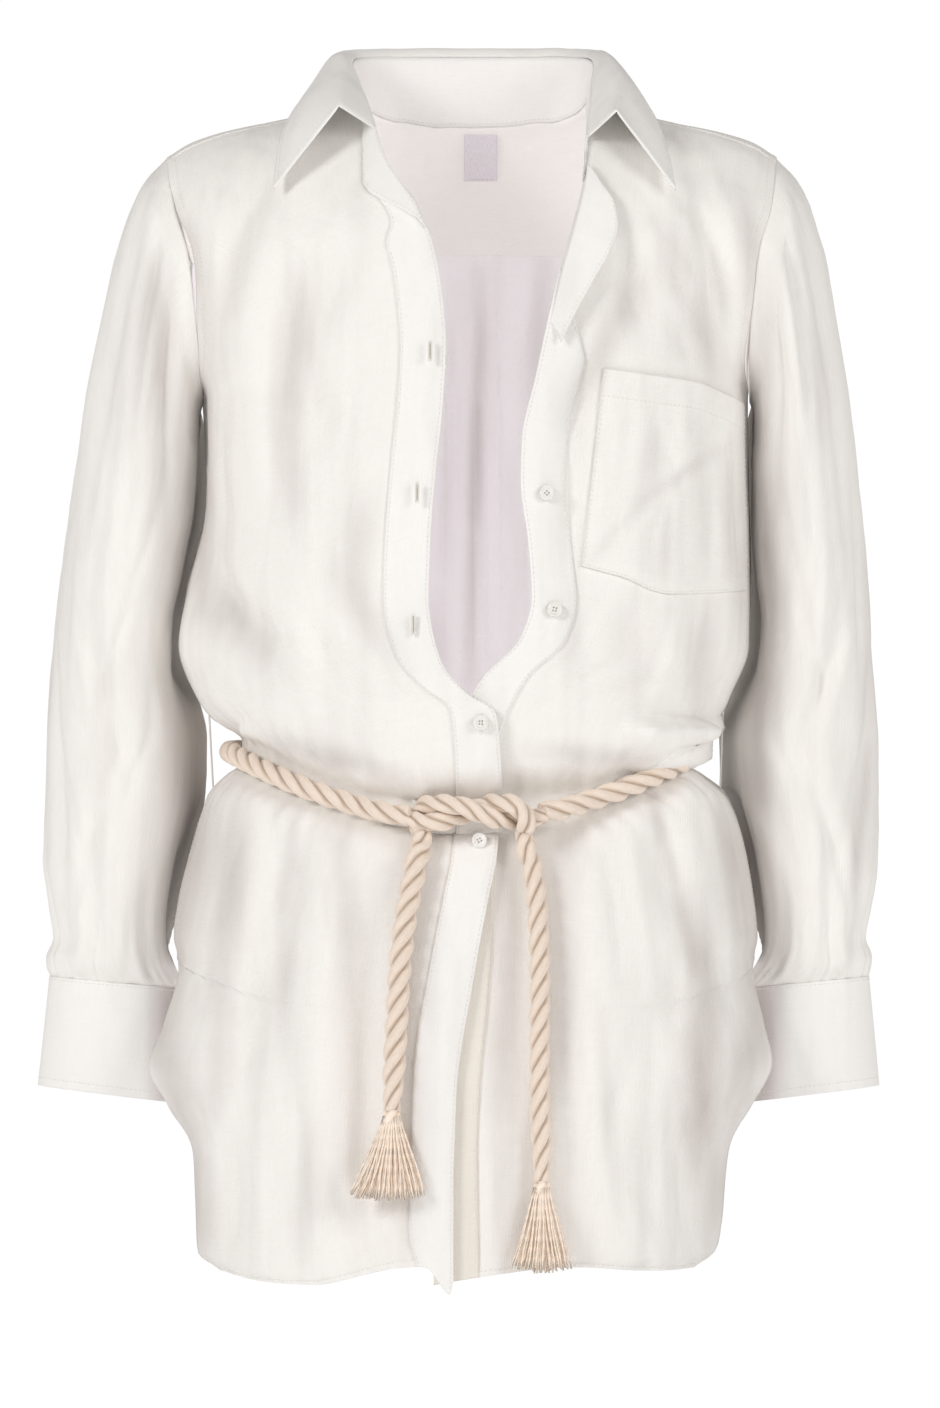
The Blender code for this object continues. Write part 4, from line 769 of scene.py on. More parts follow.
INSIDE_SHADES = table(
    "x0 z0 x1 z1 width depth",
    (
        (11, -88, 5, -250, 5, 0.20), (8, -180, 2, -366, 5, 0.20), (-10, -96, -14, -280, 8, 0.10),
        (50, -86, 42, -190, 9, 0.14), (-26, -300, -14, -366, 8, 0.12), (30, -200, 36, -350, 8, 0.08),
    ),
)

HEM_WAVE = table(
    "x rise", ((-170, 0), (-140, -3), (-98, -3), (-44, 11), (-25, 14), (-10, 0), (30, 0), (150, 0)))
HEM_FADE = 34.0


def column(rows, name, at):
    """A table's column read at a level, which may lie between two rows."""
    return smooth(np.arange(len(rows[name])), rows[name], at)


def creases(rows, x, z):
    """Sum of soft troughs and ridges at x and z."""
    total = np.zeros(np.shape(x))
    for x0, z0, x1, z1, width, depth in zip(*(rows[c] for c in "x0 z0 x1 z1 width depth".split())):
        span = (x1 - x0) ** 2 + (z1 - z0) ** 2
        share = np.clip(((x - x0) * (x1 - x0) + (z - z0) * (z1 - z0)) / span, 0, 1)
        off = np.hypot(x - x0 - share * (x1 - x0), z - z0 - share * (z1 - z0))
        total += depth * np.exp(-((off / width) ** 2)) * (0.35 + 0.65 * np.sin(math.pi * share))
    return total


DICE_SIDE = 48
DICE = np.random.default_rng(7).uniform(-1, 1, (DICE_SIDE,) * 3)


def soft_noise(place):
    """Even random hills and dips in space, one to a unit cube."""
    whole = np.floor(place).astype(int)
    part = place - whole
    part = part * part * part * (part * (part * 6 - 15) + 10)
    total = 0.0
    for i in (0, 1):
        for j in (0, 1):
            for k in (0, 1):
                corner = (i, j, k)
                near = np.abs(1 - np.array(corner) - part).prod(-1)
                total = total + DICE[tuple(np.moveaxis((whole + corner) % DICE_SIDE, -1, 0))] * near
    return total


def crumple(point):
    """Crumples of washed linen, in millimetres: long soft upright ones, short sharp ones, cross ones."""
    bend = soft_noise(point / (62, 62, 75) + 3.3)
    sway = soft_noise(point / (70, 70, 90) + 11.7)
    bent = point + np.stack([8 * bend, 8 * sway, 10 * bend], -1)
    broad = soft_noise(bent / (21, 21, 95) + 5.1)
    sharp = 1 - 2 * np.abs(soft_noise(bent / (13, 13, 52) + 20.4))
    cross = 1 - 2 * np.abs(soft_noise(bent / (40, 40, 17) + 33.2))
    fine = soft_noise(bent / (6.5, 6.5, 15) + 8.8)
    patch = np.clip(0.5 + 1.1 * soft_noise(point / (75, 75, 95) + 27.9), 0.08, 1.3)
    return 1.15 * broad + 0.5 * sharp * patch + 0.26 * cross * patch + 0.12 * fine


# The blouse hangs over the rope at the wearer's left: how far out, where it begins and its top
LIP_OUT = 17.5
LIP_BEGINS = 98.0
LIP_TOP = -379.0

# How much deeper the folds and creases are worn in than their tables say
FOLD_GAIN = 1.45
SLEEVE_FOLD_GAIN = 1.35
CREASE_GAIN = 1.2


def blouse_lip(angle, x, z, behind):
    """How far the blouse stands out level over the rope, fading in from the front and out behind."""
    reach = np.clip((np.where(np.abs(angle) > math.pi / 2, 200, x) - LIP_BEGINS) / 14, 0, 1)
    reach = reach * np.clip((math.pi / 2 + 0.8 - angle) / 0.5, 0, 1) * (angle > 0)
    foot = belt_height(x, behind) + 5 - 15 * np.clip((x - LIP_BEGINS - 8) / 32, 0, 1)
    high = np.clip((z - foot) / 7, 0, 1) * np.clip((LIP_TOP - z) / 11, 0, 1)
    return LIP_OUT * gentle(reach) * gentle(high)


def on_body(angle, down, lift=0.0, fine=1.0):
    """Points of the creased cloth, moved out by a lift along the outward normal."""
    point, normal = off_body(angle, down)
    x, z = point[..., 0], point[..., 2]
    behind = point[..., 1] > 0
    large = np.where(behind, creases(BACK_FOLDS, x, z), creases(FRONT_FOLDS, x, z))
    small = np.where(behind, creases(BACK_CREASES, x, z), creases(FRONT_CREASES, x, z))
    seam_calm = np.clip(np.abs(np.abs(angle) - math.pi / 2) / 0.22, 0, 1)
    top_calm = np.clip((np.abs(down) - 14) / 40, 0, 1)
    belt_off = np.abs(z - belt_height(x, behind))
    belt_calm = np.clip(belt_off / 34 - 0.35, 0, 1)
    rise = (FOLD_GAIN * large + CREASE_GAIN * small * fine) * seam_calm * top_calm * belt_calm
    pull = np.exp(-(((belt_off - 22) / 13) ** 2)) * np.clip((60 - np.abs(z + 415)) / 20, 0, 1)
    gathers = (np.sin(angle * 43 + 3 * np.sin(angle * 9)) + 0.6 * np.sin(angle * 71 + 2)) * pull * 1.1
    wander = crumple(point) * np.clip(belt_off / 16 - 0.35, 0.12, 1) * np.clip(np.abs(down) / 20, 0.35, 1)
    out = normal * (rise + (gathers + wander) * fine + lift)[..., None]
    level = normal * (1, 1, 0)
    level = level / np.linalg.norm(level, axis=-1, keepdims=True)
    return point + out + level * blouse_lip(angle, x, z, behind)[..., None]


# The back's box pleat and folds are read by the same function
PLEAT_HALF = 15.0
BACK_FOLDS = table(
    "x0 z0 x1 z1 width depth",
    (
        (BODY_MIDDLE - PLEAT_HALF, -84, BODY_MIDDLE - PLEAT_HALF - 3, -330, 5, -4.5),
        (BODY_MIDDLE + PLEAT_HALF, -84, BODY_MIDDLE + PLEAT_HALF + 3, -330, 5, -4.5),
        (BODY_MIDDLE, -84, BODY_MIDDLE, -360, 14, 5), (-110, -110, -95, -300, 14, -6),
        (118, -104, 100, -290, 14, -6), (-60, -200, -80, -360, 16, -4), (70, -190, 88, -360, 16, -4),
        (-150, -200, -130, -350, 13, -4), (158, -210, 136, -350, 13, -4),
        (-110, -450, -122, -690, 17, -7), (-45, -450, -52, -730, 17, -6), (28, -450, 34, -730, 18, -6),
        (100, -450, 114, -690, 17, -7), (-80, -470, -86, -700, 16, 4), (66, -470, 74, -700, 16, 4),
    ),
)
BACK_CREASES = table(
    "x0 z0 x1 z1 width depth",
    (
        (-70, -100, -78, -220, 5, -1.4), (76, -100, 82, -230, 5, -1.4), (-130, -130, -116, -260, 5, 1.4),
        (136, -126, 124, -250, 5, 1.4), (-36, -180, -44, -340, 5, -1.4), (44, -180, 52, -340, 5, -1.4),
        (-96, -300, -60, -372, 4, -1.6), (100, -300, 66, -372, 4, -1.6),
        (-140, -300, -110, -366, 4, -1.4), (146, -300, 118, -366, 4, -1.4),
        (-20, -320, -16, -380, 4, 1.2), (26, -320, 24, -380, 4, 1.2), (9, -90, 4, -366, 4, -4.0),
        (17, -90, 12, -366, 4, 2.5), (-26, -110, -30, -366, 7, 2.6), (34, -110, 40, -366, 7, 2.6),
        (-96, -440, -104, -600, 5, -1.6), (-70, -450, -66, -620, 5, 1.4), (-24, -446, -26, -620, 5, -1.4),
        (8, -450, 6, -640, 5, 1.4), (46, -446, 52, -600, 5, -1.4), (86, -446, 96, -620, 5, -1.6),
        (-130, -460, -150, -600, 5, 1.4), (128, -460, 146, -600, 5, 1.4), (-92, -600, -86, -716, 5, 1.2),
        (-30, -620, -22, -738, 5, 1.2), (50, -620, 58, -736, 5, -1.2), (92, -600, 88, -716, 5, 1.2),
    ),
)


def front_point(front, levels, share, lift):
    """Points of a front: level down it, share across it from the free edge to the side."""
    levels, share, lift = np.broadcast_arrays(*(np.asarray(v, float) for v in (levels, share, lift)))
    lift = lift.ravel()
    form = levels.shape
    level, share = levels.ravel(), share.ravel()
    first = ARMPIT_LEVEL / ARM_STEPS
    down_edge = np.where(level < ARMPIT_LEVEL, (level - first) * ARMPIT_LEVEL / (ARMPIT_LEVEL - first), level)
    edge_a, edge_w = body_place(column(front, "edge_x", down_edge), column(front, "edge_z", down_edge))
    edge_w = np.maximum(edge_w, YOKE_SEAM_DOWN)
    side_x, side_z = column(front, "side_x", level), column(front, "side_z", level)
    arm_z = ARMHOLE_MIDDLE + ARMHOLE_REACH * np.cos(math.pi * np.minimum(level / ARMPIT_LEVEL, 1.0))
    sign = -1 if front is RIGHT_FRONT else 1
    arm_x = sign * smooth(ARMHOLE["height"], ARMHOLE["left" if sign < 0 else "right"], arm_z)
    upper = level <= ARMPIT_LEVEL
    side_a, side_w = body_place(np.where(upper, arm_x, side_x), np.where(upper, arm_z, side_z))
    sealed = (level >= ARMPIT_LEVEL) & (level <= SEAM_END_LEVEL - 0.5)
    side_a = np.where(sealed, sign * math.pi / 2, side_a)
    angle = edge_a + (side_a - edge_a) * share
    bow = (np.sin(angle) ** 2 - np.sin(edge_a) ** 2) / (np.sin(side_a) ** 2 - np.sin(edge_a) ** 2)
    belted = np.clip(np.minimum(level - BELT_LEVELS[0] + 2, BELT_LEVELS[1] + 3 - level) / 2, 0, 1)
    mix = share + (np.clip(bow, 0, 1) - share) * belted
    down = edge_w + (side_w - edge_w) * mix
    if front is RIGHT_FRONT:
        x = body(angle, down)[..., 0]
        near_hem = np.clip(1 - (down_of(x, np.full(x.shape, -750.0)) - down) / HEM_FADE, 0, 1)
        down = down - smooth(HEM_WAVE["x"], HEM_WAVE["rise"], x) * near_hem
        lift = lift + lap_lift(body(angle, down)[..., 0]) * np.clip((level - 8.5) / 2, 0, 1)
    return on_body(angle, down, lift, 0.45 + 0.55 * np.clip(share * 6 - 0.7, 0, 1)).reshape(form + (3,))


def respaced(grid, axis, step, edges=()):
    """A grid's rows or columns again in steps of a length, closer at the given distances from its ends."""
    lines = np.moveaxis(grid, axis, 0)
    far = np.concatenate([[0], np.cumsum(np.linalg.norm(np.diff(lines, axis=0), axis=2).mean(1))])
    count = max(int(round(far[-1] / step)), 2)
    at = np.linspace(0, far[-1], count + 1)
    near = max(edges) if edges else 0
    kept = (at == 0) | ((at > near + 1) & (at < far[-1] - near - 1)) | (at == far[-1])
    at = np.unique(np.round(np.concatenate([at[kept], edges, far[-1] - np.array(edges)]), 4))
    i = np.clip(np.searchsorted(far, at, side="right") - 1, 0, len(far) - 2)
    t = ((at - far[i]) / (far[i + 1] - far[i]))[:, None, None]
    return np.moveaxis(lines[i] * (1 - t) + lines[i + 1] * t, 0, axis)


def grid_normals(grid, closed=False):
    """Unit normals of a grid of points."""
    if closed:
        across = np.roll(grid, -1, 1) - np.roll(grid, 1, 1)
    else:
        across = np.gradient(grid, axis=1)
    normal = np.cross(np.gradient(grid, axis=0), across)
    return normal / np.maximum(np.linalg.norm(normal, axis=-1, keepdims=True), 1e-9)


def edge_distance(grid):
    """Distances of a grid's points from its first and last row and its first and last column."""
    rows = np.linalg.norm(np.diff(grid, axis=0), axis=2)
    down = np.concatenate([np.zeros((1, grid.shape[1])), rows.cumsum(0)])
    columns = np.linalg.norm(np.diff(grid, axis=1), axis=2)
    across = np.concatenate([np.zeros((grid.shape[0], 1)), columns.cumsum(1)], 1)
    return {"top": down, "foot": down[-1:] - down, "start": across, "end": across[:, -1:] - across}


DARKEST = 0.8
TUBE_ROUND = 300


def cloth_tones(grid, tables):
    """How dark each point of a sheet is painted on each of its sides: its tables of painted shade, with faint
    random streaks.
    """
    streaks = 0.06 * soft_noise(grid / (17, 17, 140) + 60) + 0.035 * soft_noise(grid / (5, 5, 46) + 12)
    plain = np.zeros(grid.shape[:2])
    return [
        np.clip(creases(rows, grid[..., 0], grid[..., 2]) + streaks, 0, DARKEST) if rows else plain
        for rows in tables]


def hem_swell(grid, far, hems):
    """How much a sheet swells at its turned hems, with a dip along their sewing.

    Each hem is an edge, a width and a swell, and for an edge hemmed only in part the height of its foot.
    """
    swell = np.zeros(grid.shape[:2])
    for edge, width, rise, *above in hems:
        off = far[edge] + (np.where(grid[..., 2] > above[0], 0, 1e3) if above else 0)
        swell = np.maximum(swell, rise * np.clip((width - off) / 1.2 + 0.5, 0, 1))
        swell = swell - 0.2 * np.exp(-(((off - width + 1.3) / 0.8) ** 2))
    return swell


def sheet_faces(shape, sheets, far, closed):
    """Covers a sheet's outer and inner points with faces and closes its rim, laid out flat for the weave."""
    rows, columns = len(sheets[0]), len(sheets[0][0])
    uv = shape.loops.layers.uv.new("UVMap")
    flat_v = far["top"]
    flat_u = np.tile(np.linspace(0, TUBE_ROUND, columns), (rows, 1)) if closed else far["start"]

    def lay(corners, places, number=0):
        face = shape.faces.new(corners)
        face.material_index = number
        for loop, (i, j, turn) in zip(face.loops, places):
            loop[uv].uv = ((flat_u[i, j] + turn) * MM, flat_v[i, j] * MM)

    span = columns if closed else columns - 1
    for i in range(rows - 1):
        for j in range(span):
            k = (j + 1) % columns
            turn = TUBE_ROUND if k < j else 0
            places = [(i, j, 0), (i + 1, j, 0), (i + 1, k, turn), (i, k, turn)]
            for number, sheet in enumerate(sheets):
                order = places if number else places[::-1]
                lay([sheet[a][b] for a, b, _ in order], order, number)
    top, foot = sheets
    rim = [((i, j), (i, (j + 1) % columns)) for i in (0, rows - 1) for j in range(span)]
    if not closed:
        rim += [((i, j), (i + 1, j)) for j in (0, columns - 1) for i in range(rows - 1)]
    for (i, j), (a, b) in rim:
        lay([top[i][j], top[a][b], foot[a][b], foot[i][j]], [(i, j, 0), (i, j, 3), (i, j, 3), (i, j, 0)])


def shell(shape, grid, thick, centre, hems=(), closed=False, inside=None, shades=None):
    """Adds a sheet of cloth about a grid, its outer side away from a centre; gives back that side."""
    normal = grid_normals(grid, closed)
    normal *= np.sign((normal * (grid - np.asarray(centre, float))).sum(-1).mean())
    far = edge_distance(grid)
    swell = hem_swell(grid, far, hems)
    outer = grid + normal * (thick / 2 + swell)[..., None]
    inner = grid - normal * (thick / 2 + swell * 0.4)[..., None]
    # Painted shade: each corner keeps how dark it is painted, which the linen's colour reads
    shade = shape.verts.layers.float.new("shade")
    sheets = [[corners_of(shape, row) for row in side] for side in (outer, inner)]
    for sheet, tones in zip(sheets, cloth_tones(grid, (shades or CLOTH_SHADES, inside))):
        for row, values in zip(sheet, tones):
            for corner, value in zip(row, values):
                corner[shade] = float(value)
    sheet_faces(shape, sheets, far, closed)
    return outer, normal


def cut_of(grid):
    """Width, length and area of the flat cut that a grid was developed from, in metres."""
    far = edge_distance(grid)
    corner = grid[:-1, :-1]
    one = np.linalg.norm(np.cross(grid[1:, :-1] - corner, grid[:-1, 1:] - corner), axis=2)
    wide, long = float(far["start"][:, -1].max()) * MM, float(far["top"][-1].max()) * MM
    area = float(one.sum()) * MM * MM
    return (round(wide, 3), round(long, 3)), round(min(area, wide * long), 4)


def linen(name, colour, dark, weave=1.0, glow=0.0):
    """White linen: fine crossing threads with thicker slubs, faint tone changes and a soft sheen, darkened by
    the painted shade of its sheet, with an optional painted glow.
    """
    cloth, skin, join = material_of(
        name, Roughness=0.82, Specular_IOR_Level=0.25, Sheen_Weight=0.18, Sheen_Roughness=0.5)
    where = node_of(cloth, "ShaderNodeTexCoord")
    height = None
    for along_u, along_v, amount in ((1500, 70, 1.0), (70, 1500, 1.0), (760, 30, 0.7), (34, 900, 0.5)):
        spread = node_of(cloth, "ShaderNodeMapping", Scale=(along_u, along_v, 1))
        join(where.outputs["UV"], spread.inputs["Vector"])
        thread = node_of(cloth, "ShaderNodeTexNoise", Scale=1.0, Detail=2.0, Roughness=0.55)
        join(spread.outputs["Vector"], thread.inputs["Vector"])
        part = node_of(cloth, "ShaderNodeMath")
        part.operation = "MULTIPLY_ADD"
        part.inputs[1].default_value = amount
        join(thread.outputs["Fac"], part.inputs[0])
        part.inputs[2].default_value = 0.0
        if height:
            join(height.outputs["Value"], part.inputs[2])
        height = part
    relief = node_of(cloth, "ShaderNodeBump", Strength=0.55 * weave, Distance=0.00045)
    join(height.outputs["Value"], relief.inputs["Height"])
    join(relief.outputs["Normal"], skin.inputs["Normal"])
    tone = tint_of(cloth, dark, colour, 0.36, 0.56)
    share = node_of(cloth, "ShaderNodeMath")
    share.operation = "MULTIPLY"
    share.inputs[1].default_value = 1 / 3.2
    join(height.outputs["Value"], share.inputs[0])
    join(share.outputs["Value"], tone.inputs["Fac"])
    # Painted shade: the sheet's shade darkens the colour towards a warm brown
    shade = node_of(cloth, "ShaderNodeAttribute")
    shade.attribute_name = "shade"
    shaded = node_of(cloth, "ShaderNodeMix")
    shaded.data_type = "RGBA"
    shaded.blend_type = "MULTIPLY"
    shaded.inputs["B"].default_value = (0.12, 0.03, 0.02, 1)
    join(shade.outputs["Fac"], shaded.inputs["Factor"])
    join(tone.outputs["Color"], shaded.inputs["A"])
    join(shaded.outputs["Result"], skin.inputs["Base Color"])
    # Painted glow: the shaded colour is also given out as light
    if glow:
        join(shaded.outputs["Result"], skin.inputs["Emission Color"])
        skin.inputs["Emission Strength"].default_value = glow
    return cloth


white_linen = linen("white_linen", (0.958, 0.938, 0.908), (0.925, 0.90, 0.863))
# Inner sides: the linen in darker tints of painted shade, lilac-grey inside the back, lifted by a painted
# glow from their own emission
inner_linen_shade_glow = linen("white_linen_inside_shade_glow", (0.92, 0.895, 0.88), (0.89, 0.865, 0.85), glow=0.10)
back_inside_shade_glow = linen("back_linen_inside_shade_glow", (0.88, 0.85, 0.878), (0.86, 0.83, 0.858), glow=0.26)
yoke_inside_shade_glow = linen("yoke_linen_inside_shade_glow", (0.92, 0.90, 0.875), (0.90, 0.877, 0.85), glow=0.20)
underlap_linen = linen("underlap_beige_linen", (0.90, 0.862, 0.79), (0.865, 0.82, 0.745), 0.8)
pressed_linen = linen("pressed_white_linen", (0.968, 0.958, 0.938), (0.94, 0.925, 0.90), 0.8)

HEM_STEPS = (0.0, 0.7, 1.8, 4.2, 5.2, 6.4, 8.0)
seam_lines = []


def thread_line(sheet, edge, off, below=1e9, above=-1e9):
    """Keeps a line of sewing on a sheet, at a distance from one of its edges and between two heights."""
    outer, normal = sheet
    far = edge_distance(outer)[edge]
    if edge in ("top", "foot"):
        far, outer, normal = far.T, outer.transpose(1, 0, 2), normal.transpose(1, 0, 2)
    order = slice(None) if edge in ("top", "start") else slice(None, None, -1)
    line = [
        [np.interp(off, distance[order], row[order, i]) for row in (points, ways) for i in range(3)]
        for distance, points, ways in zip(far, outer, normal)
    ]
    line = np.array([p for p in line if above < p[2] < below])
    if len(line) > 3:
        seam_lines.append((line[:, :3], line[:, 3:]))


def front_grid(front):
    """A front's own grid, finer near its hem."""
    level = np.linspace(ARMPIT_LEVEL / ARM_STEPS, len(front["edge_x"]) - 1, 260)
    grid = front_point(front, level[:, None], np.linspace(0, 1, 120)[None, :], 0.0)
    return respaced(respaced(grid, 0, 3.6, HEM_STEPS), 1, 2.6)


BODY_CENTRE = (BODY_MIDDLE, 0.0, -100.0)
for worn, front in (("right", RIGHT_FRONT), ("left", LEFT_FRONT)):
    grid = front_grid(front)
    shape = bmesh.new()
    hems = (("foot", 6.0, 0.5), ("end", 7.0, 0.45, ARMPIT + 6))
    sheet = shell(shape, grid, 1.0, grid * (0, 0, 1), hems=hems)
    piece = finished("front_panel_" + worn, shape, ["front_" + worn], [white_linen, inner_linen_shade_glow])
    thread_line(sheet, "foot", 5.0)
    thread_line(sheet, "end", 6.2, above=ARMPIT + 8)
    thread_line(sheet, "end", 1.6, below=ARMPIT - 6, above=-520)
    flat, area = cut_of(grid)


# Back
# One piece of linen below the yoke, with a box pleat at its middle and a rounded tail that is
# open at the sides over the hips. It is felled to the fronts and hemmed like them.

BACK = table(
    "left_x left_z right_x right_z middle_z",
    (
        (-179, -84, 190, -84, -78),
        (-173, -134, 185, -134, -126),
        (-169.5, -176, 184.5, -176, -172),
        (-168, -222, 184.5, -222, -220),
        (-173, -268, 185, -262, -266),
        (-181.5, -304, 186, -298, -302),
        (-186, -332, 185.5, -326, -330),
        (-180, -352, 180, -350, -349),
        (-172, -368, 173, -366, -364),
        (-161, -384, 163, -384, -378),
        (-155, -390, 155, -390, -384),
        (-148, -394, 147, -394, -388),
        (-145, -398, 143, -398, -392),
        (-145, -404, 143, -404, -398),
        (-145, -411, 143, -411, -405),
        (-154, -418, 153, -418, -412),
        (-165, -431, 168, -432, -427),
        (-176, -458, 178, -456, -456),
        (-186, -494, 186, -494, -495),
        (-190, -527, 190, -525, -532),
        (-183, -550, 184, -550, -572),
        (-186, -584, 184, -584, -612),
        (-192, -612, 187, -612, -646),
        (-182, -640, 178, -640, -676),
        (-168, -670, 164, -668, -704),
        (-160, -704, 156, -700, -728),
        (-140, -732, 136, -730, -744),
    ),
)
BACK_ARMPIT_LEVEL = 2


def yoke_seam(x):
    """Height of the seam between yoke and back."""
    return -78 - 6 * (np.abs(x - 5.5) / 185) ** 2


def back_point(level, share, lift):
    """Points of the back: level down it, share across it from the left edge in view from the front."""
    level, share = np.broadcast_arrays(np.asarray(level, float), np.asarray(share, float))
    form = level.shape
    level, share = level.ravel(), share.ravel()
    places = []
    for side in ("left", "right"):
        x = column(BACK, side + "_x", level)
        z = column(BACK, side + "_z", level)
        arm = np.minimum(level / BACK_ARMPIT_LEVEL, 1.0)
        begin = math.acos((BACK["left_z"][0] - ARMHOLE_MIDDLE) / ARMHOLE_REACH)
        arm_z = ARMHOLE_MIDDLE + ARMHOLE_REACH * np.cos(begin + (math.pi - begin) * arm)
        arm_x = (-1 if side == "left" else 1) * smooth(ARMHOLE["height"], ARMHOLE[side], arm_z)
        upper = level <= BACK_ARMPIT_LEVEL
        angle, down = body_place(np.where(upper, arm_x, x), np.where(upper, arm_z, z), True)
        sealed = (level >= BACK_ARMPIT_LEVEL) & (level <= 19.5)
        places.append((np.where(sealed, np.sign(x) * math.pi / 2, angle), down))
    (left_a, left_w), (right_a, right_w) = places
    angle = left_a + (right_a - left_a) * share
    middle = down_of(np.full(level.shape, BODY_MIDDLE), column(BACK, "middle_z", level))
    bow = np.clip(np.cos(angle), 0, 1) ** 1.5
    end_bow = np.clip(np.cos(left_a), 0, 1) ** 1.5
    bow = np.clip((bow - end_bow) / np.maximum(1 - end_bow, 1e-6), 0, 1)
    down = (left_w + (right_w - left_w) * share) * (1 - bow) + middle * bow
    x = body(math.pi - angle, down)[..., 0]
    down = down + (down_of(x, yoke_seam(x)) - down) * np.clip(1 - level, 0, 1)
    return on_body(math.pi - angle, down, lift).reshape(form + (3,))


grid = back_point(np.linspace(0, 26, 240)[:, None], np.linspace(0, 1, 170)[None, :], 0.0)
grid = respaced(respaced(grid, 0, 3.8, HEM_STEPS), 1, 3.0)
shape = bmesh.new()
sheet = shell(
    shape, grid, 1.0, grid * (0, 0, 1),
    hems=(("foot", 6.0, 0.5), ("end", 7.0, 0.45, ARMPIT + 6), ("start", 7.0, 0.45, ARMPIT + 6)),
    inside=INSIDE_SHADES)
piece = finished("back_panel", shape, ["back"], [white_linen, back_inside_shade_glow])
thread_line(sheet, "foot", 5.0)
for edge in ("start", "end"):
    thread_line(sheet, edge, 6.2, above=ARMPIT + 8)
flat, area = cut_of(grid)


# Yoke
# A double piece over both shoulders and round the back of the neck. Its edges are turned in over
# the tops of the fronts and the back and sewn close to the edge.

NECK_SEAM = table(
    "x down",
    ((-67, YOKE_SEAM_DOWN), (-68, 0), (-67, -16), (-65, -28), (-60, -40), (-53, -49), (-44, -56)),
)
YOKE_STATIONS = 7 + 9 + 7


def armhole(side, steps):
    """The armhole seam: steps from the shoulder, below zero to the front and above it to the back."""
    steps = np.asarray(steps, float)
    turn = math.pi * np.abs(steps) / ARM_STEPS
    z = ARMHOLE_MIDDLE + ARMHOLE_REACH * np.cos(turn)
    x = (-1 if side == "left" else 1) * smooth(ARMHOLE["height"], ARMHOLE[side], z)
    angle, down = body_place(x, z, False)
    at_pit = np.abs(np.abs(steps) - ARM_STEPS) < 1e-6
    angle = np.where(at_pit, np.sign(x) * math.pi / 2, angle)
    return angle, np.where(at_pit, down, down * np.where(steps > 0, -1, 1))


def yoke_point(station, share, lift):
    """Points of the yoke: station round the neck from front to front, share from neck to outer edge."""
    station, share = np.broadcast_arrays(np.asarray(station, float), np.asarray(share, float))
    form = station.shape
    inner_a, inner_w, outer_a, outer_w = [], [], [], []
    back_step = math.acos((BACK["left_z"][0] - ARMHOLE_MIDDLE) / ARMHOLE_REACH) / math.pi * ARM_STEPS
    arm_steps = np.concatenate([[-1, 0], np.linspace(0, back_step, 6)[1:]])
    across = np.linspace(BACK["left_x"][0], BACK["right_x"][0], 11)[1:-1]
    for side in ("left", "right"):
        arm_a, arm_w = armhole(side, arm_steps)
        neck_x = NECK_SEAM["x"] if side == "left" else 2 * 6.0 - NECK_SEAM["x"]
        row = (body_place(neck_x, ridge(neck_x), False)[0], NECK_SEAM["down"], arm_a, arm_w)
        if side == "right":
            row = tuple(values[::-1] for values in row)
            mid_x = np.linspace(-34, 46, len(across))
            inner_a.extend(np.arcsin(mid_x / half_width(mid_x, np.zeros(len(mid_x)), mid_x > 1e9)))
            inner_w.extend(-down_of(mid_x, 4 + 3 * (np.abs(mid_x - 6) / 40) ** 2))
            outer_a.extend(body_place(across, yoke_seam(across), True)[0])
            outer_w.extend(-down_of(across, yoke_seam(across)))
        inner_a.extend(row[0])
        inner_w.extend(row[1])
        outer_a.extend(row[2])
        outer_w.extend(row[3])
    lines = [smooth(np.arange(len(v)), v, station.ravel()) for v in (inner_a, inner_w, outer_a, outer_w)]
    share = share.ravel()
    angle = lines[0] + (lines[2] - lines[0]) * share
    down = lines[1] + (lines[3] - lines[1]) * share
    return on_body(angle, down, lift).reshape(form + (3,))


station = np.linspace(0, YOKE_STATIONS - 1, 240)
share = np.concatenate([np.linspace(0, 0.9, 44), np.linspace(0.9, 1.004, 14)[1:]])
grid = yoke_point(station[:, None], share[None, :], 0.25)
shape = bmesh.new()
sheet = shell(
    shape, grid, 1.1, BODY_CENTRE, hems=(("end", 3.0, 0.35), ("top", 3.0, 0.35), ("foot", 3.0, 0.35)))
piece = finished("yoke_panel", shape, ["yoke"], [white_linen, yoke_inside_shade_glow])
for edge in ("end", "top", "foot"):
    thread_line(sheet, edge, 2.0)
_, area = cut_of(grid.transpose(1, 0, 2))


# Front bands
# Straight strips of the same linen, pressed in two layers and sewn along both edges of the
# fronts. The right one has the buttonholes; the top of the left one is turned outward.

BAND_WIDTH = 29.0
TURNED_BAND = table(
    "edge_x edge_z rise",
    ((86, -38, 3.5), (95, -50, 5.5), (98, -66, 7), (92, -82, 7.5), (83, -98, 7.5), (72, -118, 6.5),
     (61, -140, 5)),
)
TURNED_LEVELS = (2.05, 5.2)
TURNED_ROLL = 5.0
UNDERLAP_TOP = -452.0


def band_shares(front, levels, width):
    """How far across a front a band of a width reaches, at each level."""
    share = np.linspace(0, 0.6, 13)
    grid = front_point(front, levels[:, None], share[None, :], 0.0)
    return np.array([np.interp(width, row, share) for row in edge_distance(grid)["start"]])


